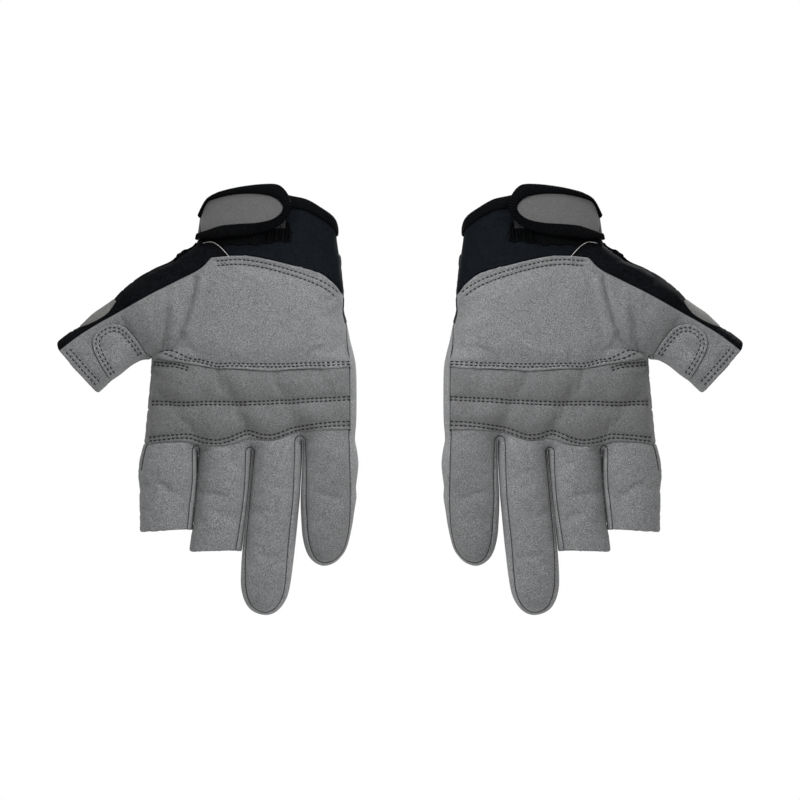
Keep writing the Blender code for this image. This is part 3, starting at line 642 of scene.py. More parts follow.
heel_edge, patch_edge, cuff_seam = spline(HEEL_EDGE, 1.0), spline(PATCH_EDGE, 1.0), spline(CUFF_SEAM, 1.0)
web_wall = resample(np.vstack([INDEX_OUT, WEB_SIDE[1:]]), 1.2)
ROW = {
    "cuff": A([(92.6, -30.9), (86, -30.1), (79.5, -30), (69.3, -31.3), (59.1, -33.8), (49, -37.0), (40, -40.6), (34.5, -43.9), (31.2, -46.8)]),
    "heel": A([(119.5, -76.0), (115, -76.2), (109.5, -77.3), (99.8, -79.5), (90.1, -81.2), (75, -81.6), (60, -81.5), (45, -81.2), (26.4, -80.7)]),
    "middle": A([(124.2, -100.6), (112, -100.7), (97.5, -100.6), (75, -100.6), (60, -100), (43, -99), (25.6, -98.1)]),
    "wave": A([(125.5, -118.8), (116.2, -117.5), (106.5, -116.9), (101.3, -118), (93, -119.8), (86.3, -118.7), (76.5, -115), (69, -116.8), (63, -117), (52.5, -113.2), (41.3, -111.5), (25.8, -110.6)]),
}
rows = {k: spline(v, 1.0) for k, v in ROW.items()}
rows["crotch"] = spline(A([(123.3, -81.0), (117, -81.4), (111, -82.3), (105.5, -83.9)]), 1.0)
twins = {"crotch": 1.5, "cuff": 2.4, "heel": 1.65, "middle": 1.75, "wave": 2.0}
second = {k: inset(col(rows[k], 0), (75, -130), d) for k, d in twins.items()}
end_line = line((152.2, -96.1), (170.7, -75.2))
end_row_1 = inset(col(end_line, 2.2), (140, -70))[1:-1]
end_row_2 = inset(col(end_line, 4.6), (140, -70))[1:-1]
u_patch = spline(U_PATCH, 1.0)
u_row_1, u_row_2 = inset(col(u_patch, 1.5), (140, -75))[2:-2], inset(col(u_patch, 3.3), (140, -75))[3:-3]

index_outer = spline(A([(126.9, -122.3), (127.7, -124.4), (128.5, -127.5), (129.2, -131), (129.9, -135.5)]), 1.0)
seams = {
    "outer": index_outer,
    "thumb": thumb_seam[:, :2], "little": little_front, "ring": ring_front, "middle": middle_front, "index": index_front,
}
skin.grooves[1] = [(0.85, 0.6, p) for p in seams.values()]
skin.grooves[1] += [(0.42, 0.9, rows[k][:, :2]) for k in rows] + [(0.42, 0.9, second[k]) for k in rows]
puffs = [(0.8 if k != "cuff" else 0.3, 3.6, inset(col(rows[k], 0), (75, -130), twins[k] / 2)) for k in ("heel", "middle", "wave", "cuff")]
skin.grooves[1] += [(0.22, 0.9, end_row_1), (0.22, 0.9, end_row_2), (0.25, 0.8, u_row_1), (0.25, 0.8, u_row_2)]
back_line = spline(A([(97.5, -27), (101.5, -40), (110, -58), (118, -71), (124.6, -79.5)]), 1.0)
skin.grooves[-1] = [(0.6, 0.9, p) for p in (back_line, little_rear[side_from:], web_rear, index_rear, middle_rear, mout_rear, ring_rear, little_rear[: side_from], thumb_out_rear, thumb_in_rear)]


# ---------------------------------------------------------------- how far each layer stands off the form
def lift_overlay(p):
    out = 0.9 * smooth(0.3, 5, seg_dist(p, web_wall))
    over = smooth(0, 2.5, p[:, 1] - edge_v(heel_edge, p[:, 0]))
    return out - (out + 0.25) * over


def lift_heel(p):
    e = p[:, 1] - edge_v(heel_edge, p[:, 0])
    near = 0.9 * smooth(0.3, 5, seg_dist(p, web_wall)) + 0.88
    low = near * (1 - smooth(1.5, 11, e)) * (1 - smooth(122, 131, p[:, 0]))
    top = 0.95 * (1 - smooth(2.5, 12, seg_dist(p, cuff_seam[:, :2])))
    return np.maximum(low, top)


def lift_finger(p):
    over = smooth(-0.4, 1.2, p[:, 1] - edge_v(patch_edge, p[:, 0]))
    return -over * (0.25 + 0.9 * (1 - smooth(0.3, 5, seg_dist(p, web_wall))))


def lift_patch(p):
    return 0.3 + 0.65 * smooth(0, 3.5, seg_dist(p, thumb_in[:, :2]))


def sunk_back(p):
    return -1.15 * smooth(-117.6, -116.4, p[:, 1])


def no_lift(p):
    return np.zeros(len(p))


def placed(lift, side=1):
    def place(p, rise):
        n = skin.normals(p, side)
        return np.column_stack([p, skin.w(p, side)]) + n * (lift(p) + rise)[:, None], n

    return place


def rim_of(f):
    """The points on a sheet's open edges."""
    directed = np.sort(np.vstack([f[:, [0, 1]], f[:, [1, 2]], f[:, [2, 0]]]), axis=1)
    pairs, count = np.unique(directed, axis=0, return_counts=True)
    return np.unique(pairs[count == 1])


def settle(v, f, held, grow=0.012, push=0.35, frames=22):
    """Cloth: the sheet is cut a little larger than the form it is sewn to, held along its seams and stitch rows, and left to
    find its own folds. The result is plain vertices. Lengths are taken at 1 unit to the centimetre while it runs."""
    mesh = bpy.data.meshes.new("settling")
    mesh.from_pydata((v * 0.1).tolist(), [], f.tolist())
    obj = bpy.data.objects.new("settling", mesh)
    bpy.context.scene.collection.objects.link(obj)
    group = obj.vertex_groups.new(name="held")
    for level in np.unique(np.round(held, 2)):
        if level > 0:
            group.add([int(i) for i in np.nonzero(np.abs(held - level) < 0.0051)[0]], float(level), "REPLACE")
    cloth = obj.modifiers.new("cloth", "CLOTH")
    c = cloth.settings
    c.quality, c.mass = 6, 0.3
    c.tension_stiffness = c.compression_stiffness = 25
    c.shear_stiffness = 12
    c.bending_stiffness = 1.2
    c.tension_damping = c.compression_damping = c.shear_damping = 8
    c.bending_damping = 1.0
    c.air_damping = 4
    c.effector_weights.gravity = 0
    c.vertex_group_mass = "held"
    c.pin_stiffness = 1.0
    c.shrink_min = -grow
    c.use_pressure = True
    c.uniform_pressure_force = push
    cloth.collision_settings.use_collision = False
    cloth.collision_settings.use_self_collision = False
    cloth.point_cache.frame_start, cloth.point_cache.frame_end = 1, frames
    scene = bpy.context.scene
    for frame_number in range(1, frames + 1):
        scene.frame_set(frame_number)
    moved = obj.evaluated_get(bpy.context.evaluated_depsgraph_get()).to_mesh()
    co = np.empty(len(moved.vertices) * 3, np.float32)
    moved.vertices.foreach_get("co", co)
    out = co.reshape(-1, 3).astype(float) * 10
    bpy.data.objects.remove(obj)
    bpy.data.meshes.remove(mesh)
    scene.frame_set(1)
    shift = out - v
    size = np.linalg.norm(shift, axis=1)
    if not np.isfinite(size).all():
        return v
    return v + shift * np.minimum(1, 2.6 / np.maximum(size, 1e-9))[:, None]


HELD_LINES = {1: [], -1: []}


def fabric(meshes, lift, thick, core=None, side=1, step_back=True, grow=0.0, push=0.35, patched=None):
    """Welded meshes made into one sheet. The lift holds on the palm side, and fades to nothing round the side wall."""
    v, f = weld(meshes)
    p = v[:, :2].copy()
    amount = lift(p)
    if side > 0 and step_back:
        amount = np.where(v[:, 2] < skin.mid(p) - 0.5, np.minimum(amount, 0), amount)
    if grow:
        v = v + area_normals(v, f) * amount[:, None]
        held = np.zeros(len(v))
        on_wall = skin.distance(p)
        held = 0.55 * smooth(4.5, 1.0, on_wall)
        for path in HELD_LINES[side]:
            near = np.all((p > path.min(0) - 2) & (p < path.max(0) + 2), axis=1) & ((v[:, 2] > skin.mid(p)) == (side > 0))
            if near.any():
                held[near] = np.maximum(held[near], smooth(2.2, 0.9, seg_dist(p[near], path)))
        held[amount < -0.2] = 1
        if patched is not None:
            held = np.maximum(held, smooth(15, 12, np.linalg.norm(p - patched, axis=1)))
        held[rim_of(f)] = 1
        v = settle(v, f, held, grow, push)
        amount = np.zeros(len(v))
    return shell(v, f, thick, amount)


HELD_LINES[1] = [rows[k][:, :2] for k in rows] + [second[k] for k in rows] + list(seams.values()) + [end_row_1, end_row_2, u_patch[:, :2]]
HELD_LINES[-1] = [back_line[:, :2], web_rear, little_rear, thumb_out_rear, thumb_in_rear]
CORE = {k: (*c, -4.0) for k, c in CENTRE.items()}


# ---------------------------------------------------------------- the wrist
def wrist(psi, v, offset=0.0):
    psi, v = np.broadcast_arrays(np.asarray(psi, float), np.asarray(v, float))
    inner, outer = np.interp(v, *CUFF_IN.T), np.interp(v, *CUFF_OUT.T)
    centre, half = (inner + outer) / 2, (outer - inner) / 2 + offset
    c, s = np.cos(np.radians(psi)), np.sin(np.radians(psi))
    e = 2 / 2.6
    return np.stack([centre + half * np.sign(c) * np.abs(c) ** e, v, 2 + (16 + offset) * np.sign(s) * np.abs(s) ** e], -1)


def wrist_at(p, offset=0.0):
    inner, outer = np.interp(p[..., 1], *CUFF_IN.T), np.interp(p[..., 1], *CUFF_OUT.T)
    x = np.minimum(np.abs(p[..., 0] - (inner + outer) / 2) / ((outer - inner) / 2 + offset), 0.9995)
    return np.stack([p[..., 0], p[..., 1], 2 + (16 + offset) * (1 - x**2.6) ** (1 / 2.6)], -1)


def even_psi(count, low=-180.0, high=180.0):
    """Angles whose points are evenly spaced round the wrist."""
    psi = np.linspace(low, high, 1440)
    s = arc(wrist(psi, -10.0)[:, [0, 2]])
    return np.interp(np.linspace(0, s[-1], count), s, psi)


WRIST_CORE = (64, -12, 2)


RIM_FRONT, RIM_REAR = spline(CUFF_RIM, 1.0), spline(BACK_RIM, 1.0)


def strap_at(p, offset=0.0):
    """A point over the wrist's palm side, given by its place on the strap."""
    inner, outer = np.interp(p[..., 1], *CUFF_IN.T), np.interp(p[..., 1], *CUFF_OUT.T)
    x = np.clip((p[..., 0] - (inner + outer) / 2) / ((outer - inner) / 2 + 4.5), -0.995, 0.995)
    psi = np.degrees(np.arccos(np.sign(x) * np.abs(x) ** 1.3))
    return wrist(psi, p[..., 1], offset)


def cuff_rim(psi):
    a = wrist(psi, -12.0)[..., 0]
    front, rear = edge_v(RIM_FRONT, a), edge_v(RIM_REAR, a)
    return np.where(np.sin(np.radians(psi)) >= 0, front, rear)


def cuff_low(psi):
    a = wrist(psi, -30.0)[..., 0]
    return np.where(np.sin(np.radians(psi)) >= 0, np.maximum(edge_v(cuff_seam, a) - 5, -50), -33.0)


# ---------------------------------------------------------------- materials
def material(name, colour, grain=1500.0, spread=0.16, blotch=0.06, rough=0.9, bump=0.35, depth=0.00025, sheen=0.2, stretch=(1, 1, 1), specular=0.25, fibre=4200.0, tint=None):
    """A fabric from noise in the piece's own coordinates: a fine grain, fibres within it, and soft blotches."""
    m = bpy.data.materials.new(name)
    m.use_nodes = True
    nodes, links = m.node_tree.nodes, m.node_tree.links
    shader = nodes["Principled BSDF"]
    coord = nodes.new("ShaderNodeTexCoord")
    mapping = nodes.new("ShaderNodeMapping")
    mapping.inputs["Scale"].default_value = stretch
    links.new(coord.outputs["Object"], mapping.inputs["Vector"])

    def noise(scale, detail, roughness):
        n = nodes.new("ShaderNodeTexNoise")
        n.inputs["Scale"].default_value = scale
        n.inputs["Detail"].default_value = detail
        n.inputs["Roughness"].default_value = roughness
        links.new(mapping.outputs["Vector"], n.inputs["Vector"])
        return n.outputs["Fac"]

    def ramp(source, low, high, lo=0.3, hi=0.7):
        r = nodes.new("ShaderNodeValToRGB")
        r.color_ramp.elements[0].position, r.color_ramp.elements[1].position = lo, hi
        r.color_ramp.elements[0].color, r.color_ramp.elements[1].color = (*low, 1), (*high, 1)
        links.new(source, r.inputs["Fac"])
        return r.outputs["Color"]

    def mixed(kind, factor, a, b):
        x = nodes.new("ShaderNodeMix")
        x.data_type, x.blend_type = "RGBA", kind
        x.inputs["Factor"].default_value = factor
        links.new(a, x.inputs["A"])
        links.new(b, x.inputs["B"])
        return x.outputs["Result"]

    fine, hair, soft = noise(grain, 4, 0.65), noise(fibre, 2, 0.7), noise(150, 4, 0.62)
    low = [c * (1 - spread) for c in colour]
    high = [c * (1 + spread) for c in (tint or colour)]
    base = ramp(fine, low, high, 0.37, 0.63)
    base = mixed("MULTIPLY", 1.0, base, ramp(soft, (1 - blotch,) * 3, (1 + blotch,) * 3, 0.35, 0.65))
    base = mixed("MULTIPLY", 1.0, base, ramp(hair, (1 - spread * 0.6,) * 3, (1 + spread * 0.6,) * 3, 0.35, 0.65))
    links.new(base, shader.inputs["Base Color"])
    shader.inputs["Roughness"].default_value = rough
    shader.inputs["Specular IOR Level"].default_value = specular
    shader.inputs["Sheen Weight"].default_value = sheen
    shader.inputs["Sheen Roughness"].default_value = 0.9
    add = nodes.new("ShaderNodeMath")
    add.operation = "ADD"
    links.new(fine, add.inputs[0])
    links.new(hair, add.inputs[1])
    relief_node = nodes.new("ShaderNodeBump")
    relief_node.inputs["Strength"].default_value = bump
    relief_node.inputs["Distance"].default_value = depth
    links.new(add.outputs["Value"], relief_node.inputs["Height"])
    links.new(relief_node.outputs["Normal"], shader.inputs["Normal"])
    return m


# The grey suede is one material in several copies, each scaled from GREY so that its part shows the tone it takes under
# the light: painted light and shade. The little finger's copy is darker, as painted shade, because the lamps light it
# more than the palm.
GREY = (0.0785, 0.0809, 0.0838)
MAT = {
    "palm": material("grey_suede_palm", [c * 0.577 for c in GREY], grain=1900.0, spread=0.86, blotch=0.08, bump=0.8, depth=0.0004, sheen=0.1),
    "overlay": material("grey_suede_patch", [c * 0.338 for c in GREY], grain=1900.0, spread=0.92, blotch=0.08, bump=0.8, depth=0.0004, sheen=0.1),
    "thumb": material("grey_suede_thumb", [c * 0.722 for c in GREY], grain=1900.0, spread=0.84, blotch=0.08, bump=0.8, depth=0.0004, sheen=0.1),
    "finger": material("grey_suede_finger", [c * 0.650 for c in GREY], grain=1900.0, spread=0.88, blotch=0.08, bump=0.8, depth=0.0004, sheen=0.1),
    "little": material("grey_suede_little_finger_painted_shade", [c * 0.492 for c in GREY], grain=1900.0, spread=0.9, blotch=0.08, bump=0.8, depth=0.0004, sheen=0.1),
    # Painted shade: the thumb's back patch is a darker copy of the grey suede, for its side turned away from the light.
    "back_patch": material("grey_suede_back_painted_shade", (0.034, 0.0335, 0.0315), grain=1100.0, spread=0.5, blotch=0.1, bump=0.9, depth=0.0004, sheen=0.1),
    # Painted light: the fingers' side strips get a lighter copy of the grey suede, to lift the shade that falls in the
    # slits.
    "gusset": material("grey_suede_side_painted_light", [c * 0.822 for c in GREY], grain=1900.0, spread=0.8, blotch=0.08, bump=0.8, depth=0.0004, sheen=0.1),
    "strap": material("strap_suede", (0.0121, 0.0121, 0.0118), grain=1900.0, spread=0.7, blotch=0.08, bump=0.6, sheen=0.1),
    "stretch": material("black_stretch", (0.0015, 0.0017, 0.0022), grain=1700, spread=0.9, rough=0.85, bump=0.6, sheen=0.0, specular=0.018, stretch=(1, 1, 0.45)),
    # Painted light: the backs of the hand and fingers get a lighter copy of the black stretch, so that their shading
    # shows under the rear light.
    "back": material("black_stretch_back_painted_light", (0.0023, 0.0026, 0.0031), grain=1500, spread=0.8, rough=0.7, bump=0.8, depth=0.0004, sheen=0.012, specular=0.09, stretch=(1, 1, 0.45)),
    "neoprene": material("black_neoprene", (0.0015, 0.0021, 0.0030), grain=1700, spread=0.8, rough=0.8, bump=0.5, sheen=0.0, specular=0.03),
    "binding": material("black_binding", (0.0008, 0.0009, 0.0011), grain=2200, spread=0.7, rough=0.5, bump=0.6, sheen=0.0, specular=0.013),
    "hook": material("hook_tape", (0.009, 0.009, 0.01), grain=1100, spread=0.5, rough=0.5, bump=0.9, depth=0.0005, sheen=0.0, specular=0.15),
    "loop": material("loop_tape", (0.006, 0.006, 0.007), grain=1400, spread=0.5, rough=0.95, bump=0.9, depth=0.0004, sheen=0.02, specular=0.05),
    # The stitch threads are drawn near black: partly the thread's own dark grey, partly painted shade of the needle
    # holes round each stitch.
    "thread": material("grey_thread_with_painted_hole_shade", (0.0065, 0.0067, 0.0072), grain=3600, spread=0.35, rough=0.7, bump=0.4, sheen=0.0, specular=0.1),
    "thumb_thread": material("thumb_thread", (0.0105, 0.0112, 0.0122), grain=3600, spread=0.35, rough=0.7, bump=0.4, sheen=0.0, specular=0.05),
    # Dark thread that also serves as painted shadow along the seams and the patches' cut edges.
    "black_thread_and_painted_shadow": material("black_thread_and_painted_shadow", (0.005, 0.0052, 0.0057), grain=3600, spread=0.35, rough=0.7, bump=0.4, sheen=0.0, specular=0.08),
    "light_thread": material("light_thread", (0.22, 0.22, 0.213), grain=3600, spread=0.25, rough=0.6, bump=0.4, sheen=0.1),
}


# ---------------------------------------------------------------- the pieces, worked out once for both gloves
PIECES = []


def piece(name, body, mesh, finish, replaces=()):
    PIECES.append((name, body, mesh, finish, replaces))


def trim(path, low, high):
    return path[(path[:, 1] >= low) & (path[:, 1] <= high)]


def palm_pieces():
    # heel and thumb palm, in one panel that wraps round the inner side of the thumb
    heel_side = little_front[side_from:][(little_all[side_from:, 1] > -83) & (little_all[side_from:, 1] < -47.5)]
    ring = chain(cuff_seam[:, :2], heel_side[::-1], heel_edge[5:-2, :2], thumb_in_front, end_line[2:], thumb_seam[:, :2])
    ring = chain(*[p for p in (ring,)])
    lines = [rows["cuff"], second["cuff"], rows["heel"], second["heel"], end_row_1, end_row_2] + [spline(fold, 1.0) for amount, width, fold in FOLDS if width < 1.8 and fold[0, 1] > -80]
    face = panel(skin, ring, 1, lines)
    wrap = band(skin, thumb_in[:, :2], thumb_in_front, thumb_in_rear, (150, -74, -1.5))
    piece("palm_heel_and_thumb", "thumb", fabric([face, wrap], lift_heel, 0.95, grow=0.02), "palm", ("heel_palm_panel", "thumb_palm_panel"))

    # overlay over the palm, wrapping round the index finger's side of the hand
    low = web[:, 1] > -121.8
    side = little_front[side_from:][(little_all[side_from:, 1] > -115) & (little_all[side_from:, 1] < -80.2)]
    top = np.column_stack([np.linspace(118.5, 26.5, 92), edge_v(heel_edge, np.linspace(118.5, 26.5, 92)) + 4.2])
    ring = chain(web_front[low], top, side[::-1], patch_edge[::-1, :2][3:-5])
    lines = [rows["middle"], second["middle"], rows["wave"], second["wave"]]
    face = panel(skin, ring, 1, lines)
    wrap = band(skin, web[low, :2], web_front[low], web_rear[low], (75, -110, -3))
    piece("palm_overlay", "hand", fabric([face, wrap], lift_overlay, 0.9, grow=0.02), "overlay", ("palm_patch", "palm_base_panel"))

    # finger palms
    t1, t2, t3 = A((101.6, -116.2)), A((74.3, -113.6)), A((49.15, -109.8))
    hidden = web[:, 1] < -115.5
    out = web_front[hidden]
    ring = chain(out, line(out[-1], t1), line(t1, index_front[C1]), index_front[: C1 + 1][::-1], line(index_front[0], out[0])[1:-1])
    wrap = band(skin, web[hidden, :2], out, web_rear[hidden], CORE["index"])
    piece("index_palm", "index", fabric([panel(skin, ring), wrap], lift_finger, 1.0, grow=0.015), "finger", ("index_palm_panel",))
    ring = chain(mout_front, index_front[C1:][::-1], line(index_front[C1], t1), line(t1, t2), line(t2, middle_front[C2]), middle_front[: C2 + 1][::-1], line(middle_front[0], mout_front[0])[1:-1])
    wrap = band(skin, middle_out[:, :2], mout_front, mout_rear, CORE["middle"])
    piece("middle_palm", "middle", fabric([panel(skin, ring), wrap], lift_finger, 1.0, grow=0.015), "finger", ("middle_palm_panel",))
    ring = chain(middle_front[C2:], ring_front, little_front[: C3 + 1], line(little_front[C3], t3), line(t3, t2), line(t2, middle_front[C2]))
    piece("ring_palm", "ring", fabric([panel(skin, ring)], lift_finger, 1.0, grow=0.015), "finger", ("ring_palm_panel",))
    low = little_front[C3:][(np.arange(C3, len(little_all)) < side_from) | (little_all[C3:, 1] < -109.5)]
    ring = chain(low, line(low[-1], t3), line(t3, little_front[C3]))
    piece("little_palm", "little", fabric([panel(skin, ring)], lift_finger, 1.0, grow=0.015), "little", ("little_palm_panel",))

    # side strips of the fingers, with the slits' tops
    piece("index_side", "index", fabric([band(skin, index_in[:, :2], index_front, index_rear, CORE["index"])], no_lift, 0.9), "gusset", ("index_gusset",))
    piece("middle_side", "middle", fabric([band(skin, middle_in[:, :2], middle_front, middle_rear, CORE["middle"])], no_lift, 0.9), "gusset", ("middle_gusset",))
    piece("ring_side", "ring", fabric([band(skin, ring_all[:, :2], ring_front, ring_rear, CORE["ring"])], no_lift, 0.9), "gusset", ("ring_gusset",))
    grey = (np.arange(len(little_all)) < side_from) | (little_all[:, 1] < -61.5)
    piece("little_side", "little", fabric([band(skin, little_all[grey, :2], little_front[grey], little_rear[grey], CORE["little"])], no_lift, 0.9), "gusset", ("little_gusset", "little_side_gusset"))

    # thumb patch
    inside = seg_dist(u_patch, thumb_in[:, :2]) > 2.9
    tongue = u_patch[inside]
    foot = (thumb_in[:, 0] > 127.2) & (thumb_in[:, 0] < 145.0)
    ring = chain(tongue, thumb_in_front[foot])
    rear = inset(col(thumb_in, 0.9), (150, -74))
    wrap = band(skin, thumb_in[foot, :2], thumb_in_front[foot], rear[foot], (150, -74, -1.5), 7, 2)
    piece("thumb_tongue_patch", "thumb", fabric([panel(skin, ring, 1, [u_row_1, u_row_2]), wrap], lambda p: lift_heel(p) + lift_patch(p), 0.9, step_back=False), "thumb", ("thumb_patch",))


def back_pieces():
    lift = lambda p: 0.55 * smooth(-34, -30, p[:, 1])
    # back of the hand, wrapping round the little finger's side near the wrist
    hand_side = little_all[:, 1] > -118.3
    hand_side[: side_from] = False
    rear = little_rear[hand_side]
    wrap_part = hand_side & (little_all[:, 1] > -61.8) & (little_all[:, 1] < -26)
    rear = rear[rear[:, 1] < -26.5]
    top = np.column_stack([np.linspace(34.5, 96.5, 62), np.full(62, -26.8)])
    web_part = web_rear[(web[:, 1] > -117.6) & (web[:, 1] < -80)]
    t = np.linspace(121.5, 24.5, 98)
    low = np.column_stack([t, -117.2 - 0.9 * np.cos((t - 115.4) * 2 * math.pi / 27) * (t > 48)])
    ring = chain(rear, top, back_line[:, :2], web_part[::-1], low)
    side = band(skin, little_all[wrap_part, :2], little_front[wrap_part], little_rear[wrap_part], (60, -50, 0))
    face = panel(skin, ring, -1)
    piece("hand_back", "hand", fabric([face, side], lift, 1.0, side=-1, grow=0.015), "back", ("back_panel",))

    # side of the thumb and its back
    ring = chain(thumb_out_rear, back_line[:, :2], thumb_in_rear, line(thumb_in_rear[-1], thumb_out_rear[0])[1:-1])
    side = band(skin, thumb_out[:, :2], thumb_seam[:, :2], thumb_out_rear, (140, -65, -1.5), 12, 6)
    piece("thumb_back", "thumb", fabric([panel(skin, ring, -1), side], no_lift, 1.0, side=-1, grow=0.015, patched=(151, -60)), "stretch", ("thenar_side_panel", "thumb_back_panel"))
    ring = chain(spline(A([(100.6, -20.6), (97.4, -22.2), (92.2, -22.4), (88.6, -24.3), (86.3, -27), (84.6, -31.2)]), 1.0), line((84.6, -31.2), (95, -34)), line((96, -33.6), (102.5, -27)))
    v, f = region(ring, [], 1.2)
    flap = np.column_stack([v, skin.w(v, 1)])
    piece("cuff_flap", "hand", shell(flap, f, 0.8, 0.35), "stretch")
    part = (thumb_out[:, 0] > 143.4) & (thumb_out[:, 0] < 160.6)
    outer = thumb_out[part]
    inner = spline(A([(160.6, -63.4), (155.5, -61.6), (150.4, -59.0), (146.3, -56.0), (142.3, -50.6)]), 1.0, len(outer))
    rear = inset(col(outer, 7.9), (140, -70))
    strip = band(skin, outer[:, :2], inner, rear, (140, -66, -1.5), 6, 7)
    piece("thumb_back_patch_cloth", "thumb", fabric([strip], lambda p: np.full(len(p), 0.45), 0.8, side=-1), "back_patch", ("thumb_back_patch",))

    # finger backs
    t1, t2, t3 = A((101.6, -111)), A((74.3, -111)), A((49.15, -111))
    hidden = web[:, 1] < -110.5
    out = web_rear[hidden]
    ring = chain(out, line(out[-1], t1), line(t1, R1), index_rear[: C1 + 1][::-1], line(index_rear[0], out[0])[1:-1])
    piece("index_back", "index", fabric([panel(skin, ring, -1)], sunk_back, 1.0, side=-1, grow=0.012), "back", ("index_back_panel",))
    ring = chain(mout_rear, index_rear[C1:][::-1], line(R1, t1), line(t1, t2), line(t2, R2), middle_rear[: C2 + 1][::-1], line(middle_rear[0], mout_rear[0])[1:-1])
    piece("middle_back", "middle", fabric([panel(skin, ring, -1)], sunk_back, 1.0, side=-1, grow=0.012), "back", ("middle_back_panel",))
    ring = chain(middle_rear[C2:], ring_rear, little_rear[: C3 + 1], line(R3, t3), line(t3, t2), line(t2, R2))
    piece("ring_back", "ring", fabric([panel(skin, ring, -1)], sunk_back, 1.0, side=-1, grow=0.012), "back", ("ring_back_panel",))
    low = little_rear[C3:][(np.arange(C3, len(little_all)) < side_from) | (little_all[C3:, 1] < -111)]
    ring = chain(low, line(low[-1], t3), line(t3, R3))
    piece("little_back", "little", fabric([panel(skin, ring, -1)], sunk_back, 1.0, side=-1, grow=0.012), "back", ("little_back_panel",))


